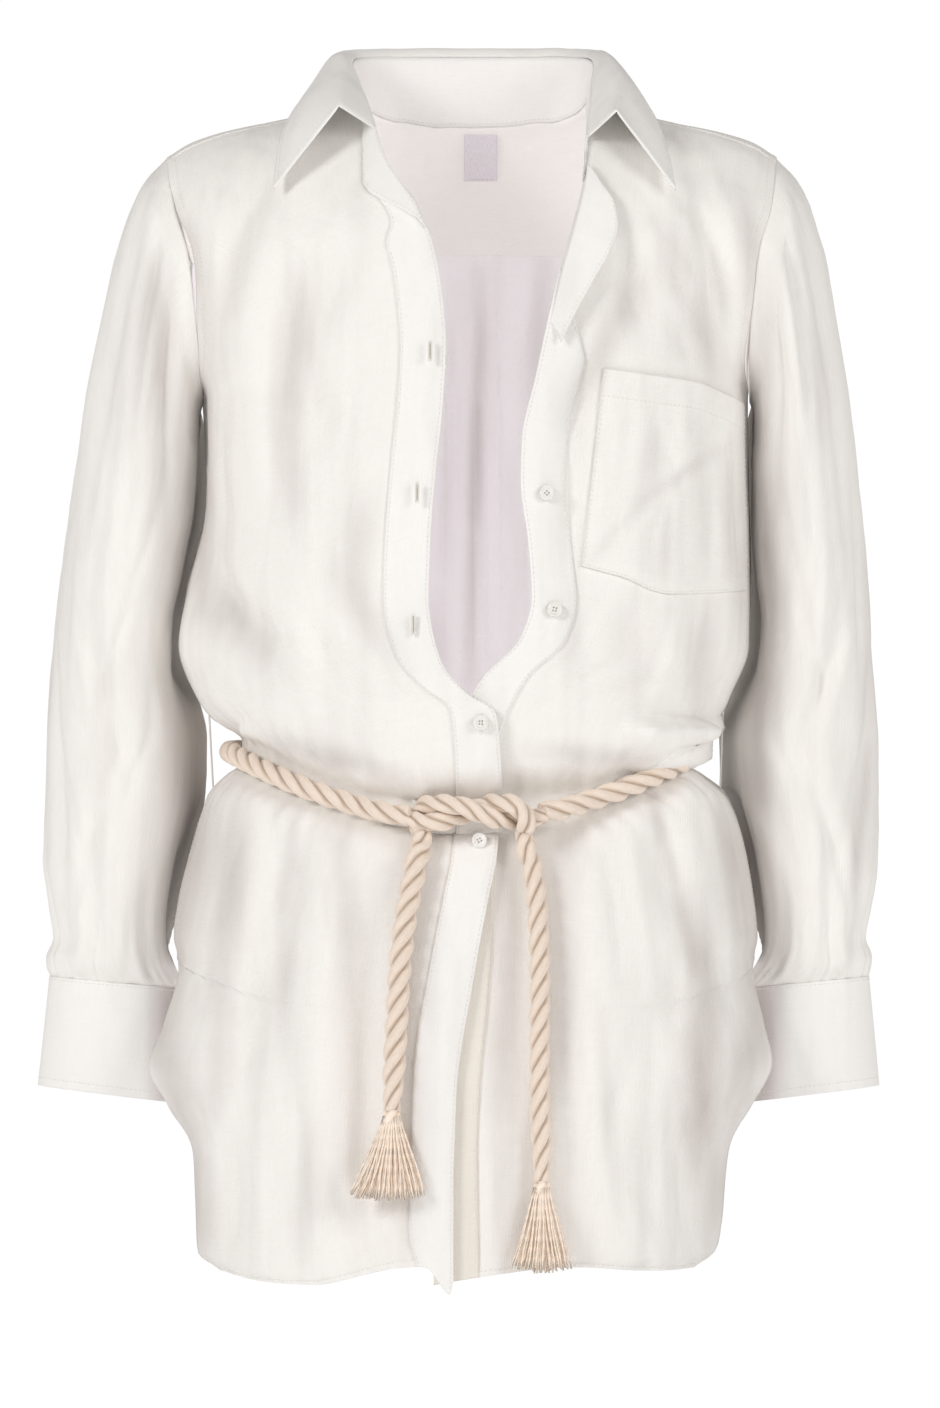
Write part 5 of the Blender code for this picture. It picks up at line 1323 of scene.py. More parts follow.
for worn, front, first, full in (("right", RIGHT_FRONT, 2.76, 3.39), ("left", LEFT_FRONT, 4.2, 5.7)):
    levels = np.linspace(first, len(front["edge_x"]) - 1, 250)
    reach = band_shares(front, levels, BAND_WIDTH) * np.clip((levels - first) / (full - first), 0.04, 1)
    across = np.array([-0.012, 0, 0.03, 0.06, 0.12, 0.22, 0.34, 0.46, 0.58, 0.7, 0.82, 0.9, 0.95, 1])
    lift = 1.15 + 0.5 * np.clip(np.minimum(across, 1 - across) / 0.06, 0, 1)
    grid = front_point(front, levels[:, None], reach[:, None] * across[None, :], lift[None, :])
    grid = respaced(grid, 0, 3.4, (0.0, 1.0, 2.0, 3.5))
    shape = bmesh.new()
    sheet = shell(shape, grid, 1.2, grid * (0, 0, 1))
    if worn == "left":
        for face in shape.faces:
            face.material_index = int(face.calc_center_median().z < UNDERLAP_TOP * MM)
    piece = finished(
        "front_band_" + worn, shape, ["band_" + worn], [pressed_linen, underlap_linen])
    for edge in ("start", "end"):
        thread_line(sheet, edge, 1.9)
    flat, area = cut_of(grid)

along_fold = np.linspace(0, 1, 60)
levels = TURNED_LEVELS[0] + along_fold * (TURNED_LEVELS[1] - TURNED_LEVELS[0])
at = along_fold * (len(TURNED_BAND["rise"]) - 1)
fold = front_point(LEFT_FRONT, levels, 0.0, 0.0)
near = front_point(LEFT_FRONT, levels, 0.008, 1.4 + TURNED_ROLL * 0.5 * np.sqrt(1 - along_fold))
angle, down = body_place(column(TURNED_BAND, "edge_x", at), column(TURNED_BAND, "edge_z", at))
edge = on_body(angle, down, 1.6 + column(TURNED_BAND, "rise", at))
bulge = (near + edge) / 2 + (near - fold) * 0.5
share = np.linspace(0, 1, 18)[None, :, None]
grid = near[:, None] * (1 - share) ** 2 + bulge[:, None] * 2 * share * (1 - share) + edge[:, None] * share**2
shape = bmesh.new()
sheet = shell(shape, grid, 1.3, grid * (0, 0, 1))
piece = finished("front_band_turned", shape, ["band_left_turned"], [pressed_linen])
thread_line(sheet, "end", 1.9)
flat, area = cut_of(grid)


# Collar
# A pressed stand round the neck, buttonhole at its right end, and a pointed leaf turned down
# over it. Both are faced with a second layer and sewn near their edges.

COLLAR = table(
    "top_x top_y top_z roll_x roll_y roll_z edge_x edge_y edge_z",
    (
        (-33, -94, -47, -40, -98, -40, -60, -98, -50),
        (-50, -78, -22, -62, -86, -14, -90, -92, -44),
        (-58, -60, 0, -82, -78, 15, -124, -80, -39),
        (-64, -40, 18, -87, -52, 31, -121, -58, -10),
        (-70, -17, 33, -88, -22, 43, -111, -22, 13),
        (-74, 8, 44, -88, 10, 53, -102, 14, 19),
        (-71, 36, 49, -84, 46, 55, -95, 56, 18),
        (-47, 61, 51, -54, 76, 56, -58, 93, 7),
        (6, 72, 51, 6, 87, 56, 6, 101, 2),
        (58, 61, 51, 66, 76, 56, 70, 93, 6),
        (80, 36, 49, 91, 46, 55, 103, 56, 16),
        (84, 8, 44, 97, 10, 52, 112, 14, 17),
        (83, -18, 33, 102, -21, 42, 122, -22, 10),
        (81, -40, 15, 104, -48, 28, 131, -56, -13),
        (79, -60, -6, 98, -76, 12, 136, -81, -40),
    ),
)
LEAF_START = 2.0


def level_of_edge(place):
    """The level of a front whose free edge lies at a row of its table above the armpit."""
    first = ARMPIT_LEVEL / ARM_STEPS
    return first + np.asarray(place, float) * (ARMPIT_LEVEL - first) / ARMPIT_LEVEL


def neck_line(stations, lift=0.0):
    """Points of the neck seam in equal steps, from the end of the right front's band to the left front."""
    right = front_point(RIGHT_FRONT, level_of_edge(np.linspace(3.0, 0, 16)), 0.0, lift)
    behind = yoke_point(np.linspace(0, YOKE_STATIONS - 1, 45), 0.0, lift)
    left = front_point(LEFT_FRONT, level_of_edge(np.linspace(0, 2.0, 12)), 0.0, lift)
    path = np.concatenate([right, behind[1:-1], left])
    far = distances(path)
    at = np.asarray(stations, float) / (len(COLLAR["top_x"]) - 1) * far[-1]
    return np.stack([np.interp(at, far, path[:, i]) for i in range(3)], -1)


def off_neck(stations, lift):
    """Points of the neck seam, each moved forwards by its own lift."""
    return neck_line(stations, 1.6) + np.stack([0 * lift, -lift, 0 * lift], -1)


def collar_line(name, stations):
    """Points along one of the collar's lines: top, roll or edge."""
    return np.stack([column(COLLAR, name + "_" + axis, stations) for axis in "xyz"], -1)


def settle(grid, amount):
    """Pushes a pressed sheet in and out a little, as starched linen is when it has been worn."""
    return grid + grid_normals(grid) * (crumple(grid * 0.8 + 40) * amount)[..., None]


stations = np.linspace(0, len(COLLAR["top_x"]) - 1, 190)
foot, top = off_neck(stations, 2.0 * np.clip(1.6 - stations, 0, 1)), collar_line("top", stations)
share = np.linspace(-0.02, 1, 16)[None, :, None]
grid = settle(foot[:, None, :] * (1 - share) + top[:, None, :] * share, 0.35)
shape = bmesh.new()
sheet = shell(shape, grid, 1.6, grid * (0, 0, 1) + (6, -8, 0))
piece = finished("collar_stand_band", shape, ["collar_stand"], [pressed_linen, inner_linen_shade_glow])
for edge in ("start", "end", "top", "foot"):
    thread_line(sheet, edge, 2.2)
inside = (sheet[0] - 1.6 * sheet[1], -sheet[1])
for edge in ("start", "top"):
    thread_line(inside, edge, 2.2)
flat, area = cut_of(grid)

stations = np.linspace(LEAF_START, len(COLLAR["top_x"]) - 1, 170)
top, roll, edge = (collar_line(name, stations) for name in ("top", "roll", "edge"))
seam = neck_line(stations)
up = (top - seam) / np.linalg.norm(top - seam, axis=1, keepdims=True)
out = (roll - top) / np.linalg.norm(roll - top, axis=1, keepdims=True)
begin = top + up * 0.3 + out * 0.3
near_end = np.minimum(stations - stations[0], stations[-1] - stations)[:, None, None]
open_out = np.clip(near_end / 2.2, 0, 1) ** 0.7
turn = np.concatenate([np.linspace(0, 0.3, 10), np.linspace(0.33, 0.94, 18), [0.96, 0.98, 1.0]])
turn = turn[None, :, None]
rolled = begin[:, None] * (1 - turn) ** 2 + edge[:, None] * turn**2
rolled = rolled + (roll + (roll - (begin + edge) / 2) * 0.6)[:, None] * 2 * turn * (1 - turn)
rising = np.clip(turn / 0.3, 0, 1)
falling = np.clip((turn - 0.3) / 0.7, 0, 1)
folded = begin[:, None] * (1 - rising) + roll[:, None] * (rising - falling) + edge[:, None] * falling
grid = folded * (1 - open_out) + rolled * open_out
grid = settle(grid, 0.4)
shape = bmesh.new()
sheet = shell(
    shape, grid, 1.5, grid * (0, 0, 0.4) + (6, -8, -20), hems=(("end", 1.6, 0.12), ("top", 1.6, 0.12)))
piece = finished("collar_turned_leaf", shape, ["collar_leaf"], [pressed_linen])
for edge in ("end", "top", "foot"):
    thread_line(sheet, edge, 5.0)
flat, area = cut_of(grid)


# Chest pocket
# A patch of the front's linen, hemmed at its mouth and sewn on round three sides. It hangs a
# little slack, so that it creases more than the front below it.

POCKET = table(
    "top_x top_z foot_x foot_z",
    (
        (89, -156, 75, -284),
        (108, -158.5, 101, -291),
        (128, -161, 131, -302),
        (148, -164, 158, -301),
        (166, -171, 172, -300),
        (180, -178, 182, -299),
    ),
)
POCKET_FOLDS = table(
    "x0 z0 x1 z1 width depth",
    (
        (166, -206, 112, -244, 6, -2.2), (112, -246, 80, -282, 6, -2.2), (140, -175, 132, -285, 5, 1.6),
        (156, -178, 152, -290, 5, -1.6), (168, -184, 166, -292, 4, 1.6), (118, -170, 108, -230, 6, 1.6),
        (150, -200, 112, -262, 4, 1.4), (124, -196, 138, -232, 3, -1.0), (146, -226, 150, -270, 3, -1.0),
        (130, -238, 122, -280, 3, 1.0), (100, -178, 94, -230, 4, 0.9), (160, -240, 170, -288, 3, 0.9),
    ),
)
across = np.linspace(0, len(POCKET["top_x"]) - 1, 62)
way = np.concatenate([[0, 0.008], np.linspace(0.02, 0.98, 62), [0.992, 1]])[:, None]
x = column(POCKET, "top_x", across) * (1 - way) + column(POCKET, "foot_x", across) * way
z = column(POCKET, "top_z", across) * (1 - way) + column(POCKET, "foot_z", across) * way
angle, down = body_place(x, z)
inwards = np.clip(np.minimum(np.minimum(across, 5 - across)[None, :] / 0.3, (1 - way) / 0.06), 0, 1)
slack = np.maximum(creases(POCKET_FOLDS, x, z), -0.5) * inwards
grid = on_body(angle, down, 1.2 + 1.6 * inwards + slack)
shape = bmesh.new()
sheet = shell(
    shape, grid, 1.0, grid * (0, 0, 1),
    hems=(("top", 19.0, 0.35), ("start", 2.4, 0.3), ("end", 2.4, 0.3), ("foot", 2.4, 0.3)))
piece = finished("chest_pocket", shape, ["pocket"], [white_linen, inner_linen_shade_glow])
for edge, off in (("top", 18.0), ("start", 1.7), ("end", 1.7), ("foot", 1.7)):
    thread_line(sheet, edge, off)
flat, area = cut_of(grid)


# Sleeves
# Long sleeves of the same linen, set into the armholes and gathered a little into the cuffs.
# A slit runs up from each cuff behind, bound with a narrow strip.

SLEEVE = table(
    "outer_x outer_z inner_x inner_z front back middle",
    (
        (-209, -33, -173.5, -183, 61, 63, 1),
        (-217, -48, -174, -190, 62, 64, 2),
        (-227, -79, -174.5, -202, 62, 64, 3),
        (-237, -124, -175, -222, 61, 63, 4),
        (-245, -164, -176.5, -246, 59, 61, 6),
        (-256, -237, -184, -288, 56, 58, 8),
        (-263, -289, -191, -318, 54, 56, 9),
        (-268, -337, -192, -349, 52, 55, 10),
        (-273, -393, -181, -397, 50, 54, 11),
        (-274, -430, -182, -431, 49, 53, 12),
        (-275, -473, -190, -474, 47, 51, 12),
        (-271, -508, -194.5, -510, 45, 49, 12),
        (-268, -526, -195, -530, 43, 46, 12),
        (-272, -539, -191, -545, 38, 41, 12),
        (-270, -551, -184, -559, 30, 32, 12),
    ),
)
SLEEVE_MIRROR = table("height middle", ((0, 4), (-150, 2), (-400, -2.5), (-640, -4.5)))
LEFT_ARM_SHIFT = table(
    "height out",
    ((-176, 12), (-250, 10), (-290, 6), (-330, 2.5), (-380, 0), (-430, 2), (-475, 6), (-530, 8),
     (-548, 5), (-560, 0)),
)
CUFF_TOP = (-270.5, -551.7, -183.5, -559.7, 30.5, 32.5, 12.0)
CUFF_FOOT = (-278.0, -622.0, -181.0, -634.0, 32.0, 34.0, 12.0)
CUFF_OPENING = -32.0
CUFF_OVERLAP = 26.0
SLEEVE_LONG = 640.0
DEGREE_WIDE = 0.9
TUCK = 20.0
SLEEVE_FOLDS = table(
    "start start_angle end end_angle width depth",
    (
        (0.02, 60, 0.30, 75, 9, -4), (0.05, 95, 0.36, 120, 10, -5), (0.10, 40, 0.42, 48, 8, -3),
        (0.48, 60, 0.66, 105, 9, -4), (0.54, 20, 0.76, 50, 8, -4), (0.60, 95, 0.78, 60, 8, -4),
        (0.72, 15, 0.98, 22, 6, -3), (0.70, 80, 0.98, 74, 8, -4), (0.50, -60, 0.70, -110, 9, -5),
        (0.05, -70, 0.38, -90, 10, -5), (0.70, -80, 0.98, -76, 8, -4), (0.75, 130, 0.98, 128, 7, -3),
    ),
)
SLEEVE_CREASES = table(
    "start start_angle end end_angle width depth",
    (
        (0.03, 30, 0.22, 34, 4, -1.2), (0.08, 76, 0.40, 92, 5, 1.6), (0.16, 100, 0.44, 84, 4, -1.5),
        (0.22, 58, 0.46, 66, 5, -1.4), (0.30, 120, 0.52, 96, 5, -1.6), (0.38, 30, 0.58, 42, 5, -1.3),
        (0.42, 74, 0.56, 92, 4, 1.4), (0.46, 110, 0.60, 70, 4, -1.6), (0.50, 46, 0.62, 86, 4, 1.3),
        (0.55, 130, 0.70, 92, 5, -1.6), (0.60, 34, 0.74, 66, 4, -1.5), (0.64, 70, 0.80, 100, 4, 1.4),
        (0.70, 44, 0.94, 40, 5, -1.5), (0.74, 96, 0.97, 92, 4, -1.4), (0.78, 62, 0.97, 60, 4, 1.4),
        (0.80, 112, 0.97, 110, 4, -1.2), (0.84, 28, 0.98, 30, 3, 1.2), (0.05, -40, 0.30, -52, 5, -1.5),
        (0.20, -100, 0.48, -80, 5, 1.5), (0.40, -50, 0.58, -76, 4, -1.5),
        (0.56, -120, 0.72, -86, 5, -1.5), (0.66, -60, 0.94, -56, 5, 1.4),
        (0.78, -104, 0.97, -100, 4, -1.3),
    ),
)


# Painted shade on the sleeves: their inner sides next to the body, their outer lines and bands between
SLEEVE_SHADES = table(
    "x0 z0 x1 z1 width depth",
    (
        (-198, -86, -196, -182, 12, 0.24), (-193, -168, -187, -292, 19, 0.18),
        (-188, -276, -181, -384, 17, 0.12), (-180, -366, -178, -482, 13, 0.28),
        (-178, -466, -186, -546, 10, 0.26), (-268, -250, -273, -480, 5, 0.12),
        (-225, -110, -236, -200, 8, 0.08), (-232, -330, -226, -440, 7, 0.06),
        (196, -90, 196, -202, 11, 0.24), (194, -188, 198, -292, 17, 0.26),
        (197, -276, 192, -384, 16, 0.28), (191, -366, 186, -482, 12, 0.28),
        (186, -466, 190, -546, 9, 0.24), (262, -250, 265, -480, 5, 0.12), (226, -110, 234, -200, 8, 0.08),
        (262, -400, 252, -500, 4, 0.16),
    ),
)


def ring_points(side, row, turns):
    """One ring of an arm from its outer and inner points, half depths and middle."""
    outer = np.array([row[0], row[1]], float)
    inner = np.array([row[2], row[3]], float)
    if side == "right":
        for point in (outer, inner):
            point[0] = 2 * smooth(SLEEVE_MIRROR["height"], SLEEVE_MIRROR["middle"], point[1]) - point[0]
        inner[0] += smooth(LEFT_ARM_SHIFT["height"], LEFT_ARM_SHIFT["out"], inner[1])
    centre, reach = (outer + inner) / 2, (outer - inner) / 2
    flat = centre + reach * np.cos(turns)[:, None]
    y = row[6] - np.sin(turns) * np.where(np.sin(turns) > 0, row[4], row[5])
    return np.stack([flat[:, 0], y, flat[:, 1]], -1)


def arm_creases(rows, place, degrees):
    """Sum of soft troughs and ridges on a sleeve, by place along it and angle round it."""
    total = np.zeros(np.broadcast(place, degrees).shape)
    for start, start_angle, end, end_angle, width, depth in zip(*rows.values()):
        x0, x1 = start * SLEEVE_LONG, end * SLEEVE_LONG
        y0, y1 = start_angle * DEGREE_WIDE, end_angle * DEGREE_WIDE
        px, py = place * SLEEVE_LONG, degrees * DEGREE_WIDE
        span = (x1 - x0) ** 2 + (y1 - y0) ** 2
        share = np.clip(((px - x0) * (x1 - x0) + (py - y0) * (y1 - y0)) / span, 0, 1)
        off = np.hypot(px - x0 - share * (x1 - x0), py - y0 - share * (y1 - y0))
        total += depth * np.exp(-((off / width) ** 2)) * np.sin(math.pi * (0.1 + 0.8 * share))
    return total


def tuck_behind(grid, place, round_way, sign):
    """Draws a sleeve's inner side in behind the body, where it hangs against it, clear of the back."""
    tuck = TUCK * np.exp(-(((round_way - math.pi - 0.75) / 0.5) ** 2))[None, :]
    tuck = tuck * np.clip((place - 0.12) / 0.2, 0, 1) * np.clip((0.93 - place) / 0.14, 0, 1)
    grid[..., 0] -= sign * tuck
    beside = half_width(grid[..., 0], grid[..., 2], np.ones(grid.shape[:2], bool)) + 4
    deep = smooth(GIRTH["height"], GIRTH["back"], grid[..., 2]) + 4
    spare = (np.abs(grid[..., 0]) / beside) ** SQUARENESS + (np.abs(grid[..., 1]) / deep) ** SQUARENESS
    spare = np.maximum(1.035 / spare ** (1 / SQUARENESS), 1)
    grid[..., :2] *= np.where(tuck > 0.5, spare, 1)[..., None]


def sleeve_point(side, places, turns, lift=0.0):
    """Points of a creased sleeve: places along it from 0 to 1, turns round it from its outer line."""
    round_way = np.asarray(turns, float) % (2 * math.pi)
    front = round_way <= math.pi
    steps = np.where(front, round_way, 2 * math.pi - round_way) / math.pi * ARM_STEPS
    angle, down = armhole(side, steps * np.where(front, -1, 1))
    first = body(angle, down)
    first[:, 0] += (-1 if side == "left" else 1) * (0.2 + 0.5 * (1 - np.cos(round_way)))
    rows = zip(*SLEEVE.values())
    rings = np.stack([first] + [ring_points(side, row, round_way) for row in rows])
    at = np.asarray(places, float) * (len(rings) - 1)
    grid = np.stack(
        [np.stack([smooth(np.arange(len(rings)), rings[:, j, i], at) for i in range(3)], -1)
         for j in range(rings.shape[1])], 1)
    place = np.asarray(places, float)[:, None]
    tuck_behind(grid, place, round_way, -1 if side == "left" else 1)
    normal = grid_normals(grid, True)
    normal *= np.sign((normal * (grid - grid.mean(1, keepdims=True))).sum(-1, keepdims=True))
    degrees = np.degrees((round_way + math.pi) % (2 * math.pi) - math.pi)[None, :]
    rise = SLEEVE_FOLD_GAIN * arm_creases(SLEEVE_FOLDS, place, degrees)
    rise = rise + CREASE_GAIN * arm_creases(SLEEVE_CREASES, place, degrees)
    rise = rise * np.clip(place / 0.05, 0, 1) * np.clip((1 - place) / 0.03, 0, 1)
    ease = np.sin(round_way * 23 + 2 * np.sin(round_way * 5))[None, :]
    rise = rise + ease * 0.9 * np.clip((place - 0.84) / 0.12, 0, 1) * np.clip((1.02 - place) / 0.05, 0, 1)
    calm = np.clip(place / 0.04, 0.1, 1) * np.clip((1 - place) / 0.03, 0.2, 1)
    rise = rise + 1.15 * crumple(grid * (1, 1, 1.15) + 90) * calm
    return grid + normal * (rise + lift)[..., None]


for side, worn in (("left", "right"), ("right", "left")):
    turns = np.linspace(0, 2 * math.pi, 112, endpoint=False)
    grid = sleeve_point(side, np.linspace(0, 1, 170), turns)
    shape = bmesh.new()
    sheet = shell(shape, grid, 1.0, grid.mean(1, keepdims=True), closed=True, shades=SLEEVE_SHADES)
    piece = finished("sleeve_tube_" + worn, shape, ["sleeve_" + worn], [white_linen, inner_linen_shade_glow])

    slit = np.radians(CUFF_OPENING + np.linspace(-14.0, 13.0, 10))
    places = np.linspace(0.80, 0.985, 34)
    strip = sleeve_point(side, places, np.concatenate([turns[2:110], slit + 2 * math.pi]))[:, -10:]
    shape = bmesh.new()
    centre = grid[136:168].mean((0, 1))
    normal = grid_normals(strip)
    normal *= np.sign((normal * (strip - centre)).sum(-1).mean())
    sheet = shell(shape, strip + normal * 1.4, 1.2, centre, shades=SLEEVE_SHADES)
    piece = finished("sleeve_slit_strip_" + worn, shape, ["sleeve_band_" + worn], [white_linen])
    for edge in ("start", "end", "top"):
        thread_line(sheet, edge, 1.6)
    flat, area = cut_of(strip)


# Cuffs
# Deep pressed cuffs in two layers, their ends lapped behind the wrist and buttoned there. They
# are sewn along the top close to the edge and along the foot further in.

FACED = 2.0
# Painted shade on the inner side of each cuff, next to the body
CUFF_SHADES = table(
    "x0 z0 x1 z1 width depth",
    ((-191, -530, -189, -660, 14, 0.62), (193, -530, 191, -660, 12, 0.55)),
)


def cuff_point(side, share, turns, lift=0.0):
    """Points of a cuff: share down it, turns round it, moved out by a lift."""
    rings = []
    for part in np.asarray(share, float):
        row = [a + (b - a) * part for a, b in zip(CUFF_TOP, CUFF_FOOT)]
        points = ring_points(side, row, turns)
        out = points - ring_points(side, row, np.linspace(0, 2 * math.pi, 12, endpoint=False)).mean(0)
        out[:, 2] = 0
        out /= np.linalg.norm(out, axis=1, keepdims=True)
        rings.append(points + out * np.broadcast_to(lift, (len(turns),))[:, None])
    return np.stack(rings)


for side, worn in (("left", "right"), ("right", "left")):
    round_way = np.radians(CUFF_OPENING - CUFF_OVERLAP + np.linspace(0, 360 + CUFF_OVERLAP, 150))
    lapped = np.clip((np.degrees(round_way) - (CUFF_OPENING - CUFF_OVERLAP) - 338) / 18, 0, 1)
    lift = 0.3 + (FACED + SEAM_GAP + 0.5) * gentle(lapped)
    share = np.concatenate([[-0.015, 0.0], np.linspace(0.03, 0.97, 32), [0.985, 1.0]])
    grid = settle(cuff_point(side, share, round_way, lift), 0.3)
    shape = bmesh.new()
    sheet = shell(shape, grid, 1.8, grid.mean((0, 1)), shades=CUFF_SHADES)
    piece = finished("cuff_" + worn + "_band", shape, ["cuff_" + worn], [pressed_linen])
    for edge, off in (("top", 2.0), ("foot", 5.5), ("start", 2.0), ("end", 2.0)):
        thread_line(sheet, edge, off)
    flat, area = cut_of(grid)


# Buttons
# Polished white buttons, 9.6 mm across, with a raised rim and four holes, sewn on with white
# thread. One is modelled and set in each place.

BUTTON = 9.6
BUTTON_THICK = 2.4
HOLE_OFF = 1.25

shell_white, gloss, link = material_of(
    "polished_shell_white", Roughness=0.22, Specular_IOR_Level=0.5, Coat_Weight=0.4, Coat_Roughness=0.08)
gloss_place = node_of(shell_white, "ShaderNodeTexCoord")
cloud = node_of(shell_white, "ShaderNodeTexNoise", Scale=260.0, Detail=3.0, Distortion=1.2)
link(gloss_place.outputs["Object"], cloud.inputs["Vector"])
cloud_tint = tint_of(shell_white, (0.84, 0.82, 0.77), (0.95, 0.94, 0.92), 0.35, 0.6)
link(cloud.outputs["Fac"], cloud_tint.inputs["Fac"])
link(cloud_tint.outputs["Color"], gloss.inputs["Base Color"])

thread_white, thread_skin, link = material_of("white_sewing_thread", Roughness=0.6, Sheen_Weight=0.2)
thread_place = node_of(thread_white, "ShaderNodeTexCoord")
thread_twist = node_of(thread_white, "ShaderNodeTexNoise", Scale=2600.0, Detail=1.0)
link(thread_place.outputs["Object"], thread_twist.inputs["Vector"])
thread_tint = tint_of(thread_white, (0.80, 0.775, 0.73), (0.95, 0.94, 0.915))
link(thread_twist.outputs["Fac"], thread_tint.inputs["Fac"])
link(thread_tint.outputs["Color"], thread_skin.inputs["Base Color"])

nothing_picked()
bpy.ops.mesh.primitive_cylinder_add(vertices=40, radius=BUTTON / 2 * MM, depth=BUTTON_THICK * MM)
disc = bpy.context.active_object
disc.name = "button_disc"
bpy.ops.object.mode_set(mode="EDIT")
bpy.ops.mesh.select_mode(type="FACE")
bpy.ops.mesh.select_all(action="DESELECT")
bpy.ops.object.mode_set(mode="OBJECT")
for face in disc.data.polygons:
    face.select = face.normal.z > 0.9
bpy.ops.object.mode_set(mode="EDIT")
bpy.ops.mesh.inset(thickness=1.25 * MM)
bpy.ops.mesh.inset(thickness=0.3 * MM, depth=-0.42 * MM)
bpy.ops.mesh.inset(thickness=0.8 * MM, depth=-0.1 * MM)
bpy.ops.object.mode_set(mode="OBJECT")
for i in range(4):
    hole_turn = math.pi / 4 + i * math.pi / 2
    bpy.ops.mesh.primitive_cylinder_add(
        vertices=14, radius=0.62 * MM, depth=6 * MM,
        location=(HOLE_OFF * MM * math.cos(hole_turn), HOLE_OFF * MM * math.sin(hole_turn), 0))
    drill = bpy.context.active_object
    bpy.context.view_layer.objects.active = disc
    hole = disc.modifiers.new("hole", "BOOLEAN")
    hole.object = drill
    bpy.ops.object.modifier_apply(modifier=hole.name)
    bpy.data.objects.remove(drill, do_unlink=True)
edge_round = disc.modifiers.new("rounded", "BEVEL")
edge_round.width = 0.28 * MM
edge_round.segments = 3
edge_round.angle_limit = math.radians(35)
bpy.ops.object.modifier_apply(modifier=edge_round.name)

for i in range(2):
    nothing_picked()
    bpy.ops.mesh.primitive_cylinder_add(
        vertices=8, radius=0.33 * MM, depth=2 * HOLE_OFF * MM, rotation=(math.pi / 2, 0, 0))
    strand = bpy.context.active_object
    bpy.ops.object.transform_apply(location=False, rotation=True, scale=False)
    bpy.ops.object.mode_set(mode="EDIT")
    bpy.ops.mesh.select_all(action="SELECT")
    for cut in (-0.8, -0.4, 0.0, 0.4, 0.8):
        bpy.ops.mesh.bisect(plane_co=(0, cut * MM, 0), plane_no=(0, 1, 0))
        bpy.ops.mesh.select_all(action="SELECT")
    bpy.ops.object.mode_set(mode="OBJECT")
    for corner in strand.data.vertices:
        off = abs(corner.co.y) / (HOLE_OFF * MM)
        corner.co.z += (0.78 - 1.25 * off**3) * MM
    bpy.ops.transform.rotate(value=math.pi / 4 + i * math.pi / 2, orient_axis="Z", center_override=(0, 0, 0))
    bpy.ops.object.transform_apply(location=True, rotation=True, scale=True)
    strand.data.materials.append(thread_white)
    strand.name = "button_thread_" + str(i)
disc.data.materials.append(shell_white)
nothing_picked()
for name in ("button_thread_0", "button_thread_1", "button_disc"):
    bpy.data.objects[name].select_set(True)
bpy.context.view_layer.objects.active = disc
bpy.ops.object.join()
bpy.ops.object.shade_smooth_by_angle(angle=math.radians(40))

ring = np.linspace(0, 2 * math.pi, 12, endpoint=False)
seats = []
for node, x, z, gap in (("button_1", 10, -385, 0.2), ("button_2", 9, -461, 1.0)):
    angle, down = body_place(x + BUTTON / 2 * np.sin(ring), z + BUTTON / 2 * np.cos(ring))
    ahead = on_body(angle, down, UNDERLAP_LIFT + LAYER + CLOTH / 2 + SEAM_GAP, 0.45)[:, 1].min() - gap
    seats.append((node, (x, ahead, z), (0, -1, 0)))
for node, x, z in (("button_3", 52, -237), ("button_4", 57, -312)):
    angle, down = body_place(np.array([x]), np.array([z]))
    seat = on_body(angle, down, LAYER + CLOTH / 2 + SEAM_GAP + 0.2, 0.45)[0]
    seats.append((node, seat, off_body(angle, down, 5.0)[1][0]))
for side, worn in (("left", "right"), ("right", "left")):
    seat = cuff_point(side, [0.5], np.radians([CUFF_OPENING - 12.0]), FACED * 1.5 + 2 * SEAM_GAP + 1.3)[0, 0]
    facing = seat - cuff_point(side, [0.5], ring)[0].mean(0)
    facing[2] = 0
    seats.append(("button_cuff_" + worn, seat, facing))
for count, (node, seat, facing) in enumerate(seats):
    facing = Vector(facing).normalized()
    copy = disc.copy()
    copy.data = disc.data.copy()
    copy.name = node + "_sewn"
    bpy.context.scene.collection.objects.link(copy)
    spin = Vector((0, 0, 1)).rotation_difference(facing)
    copy.rotation_euler = (spin.to_matrix() @ Matrix.Rotation(0.5 * count, 3, "Z")).to_euler()
    copy.location = (Vector(seat) + facing * BUTTON_THICK / 2) * MM
    nothing_picked()
    copy.select_set(True)
    bpy.context.view_layer.objects.active = copy
    bpy.ops.object.transform_apply(location=True, rotation=True, scale=True)
    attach(copy, "root")
    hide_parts(node)
bpy.data.objects.remove(disc, do_unlink=True)
nothing_picked()


# Neck label
# A small blank satin-woven label, its ends folded under and sewn flat inside the yoke.

LABEL = (-1.0, 21.0, 0.5, -29.0)
# Painted glow: the label gives out a faint lilac-grey light of its own
satin, satin_skin, link = material_of(
    "lilac_grey_satin_glowing", Roughness=0.42, Sheen_Weight=0.3, Emission_Color=(0.70, 0.66, 0.71, 1),
    Emission_Strength=0.25)
satin_place = node_of(satin, "ShaderNodeTexCoord")
satin_lay = node_of(satin, "ShaderNodeMapping", Scale=(3600.0, 260.0, 1.0))
satin_thread = node_of(satin, "ShaderNodeTexNoise", Scale=1.0, Detail=2.0)
link(satin_place.outputs["UV"], satin_lay.inputs["Vector"])
link(satin_lay.outputs["Vector"], satin_thread.inputs["Vector"])
satin_tint = tint_of(satin, (0.60, 0.565, 0.60), (0.74, 0.70, 0.74), 0.3, 0.65)
link(satin_thread.outputs["Fac"], satin_tint.inputs["Fac"])
link(satin_tint.outputs["Color"], satin_skin.inputs["Base Color"])
satin_relief = node_of(satin, "ShaderNodeBump", Strength=0.4, Distance=0.0002)
link(satin_thread.outputs["Fac"], satin_relief.inputs["Height"])
link(satin_relief.outputs["Normal"], satin_skin.inputs["Normal"])

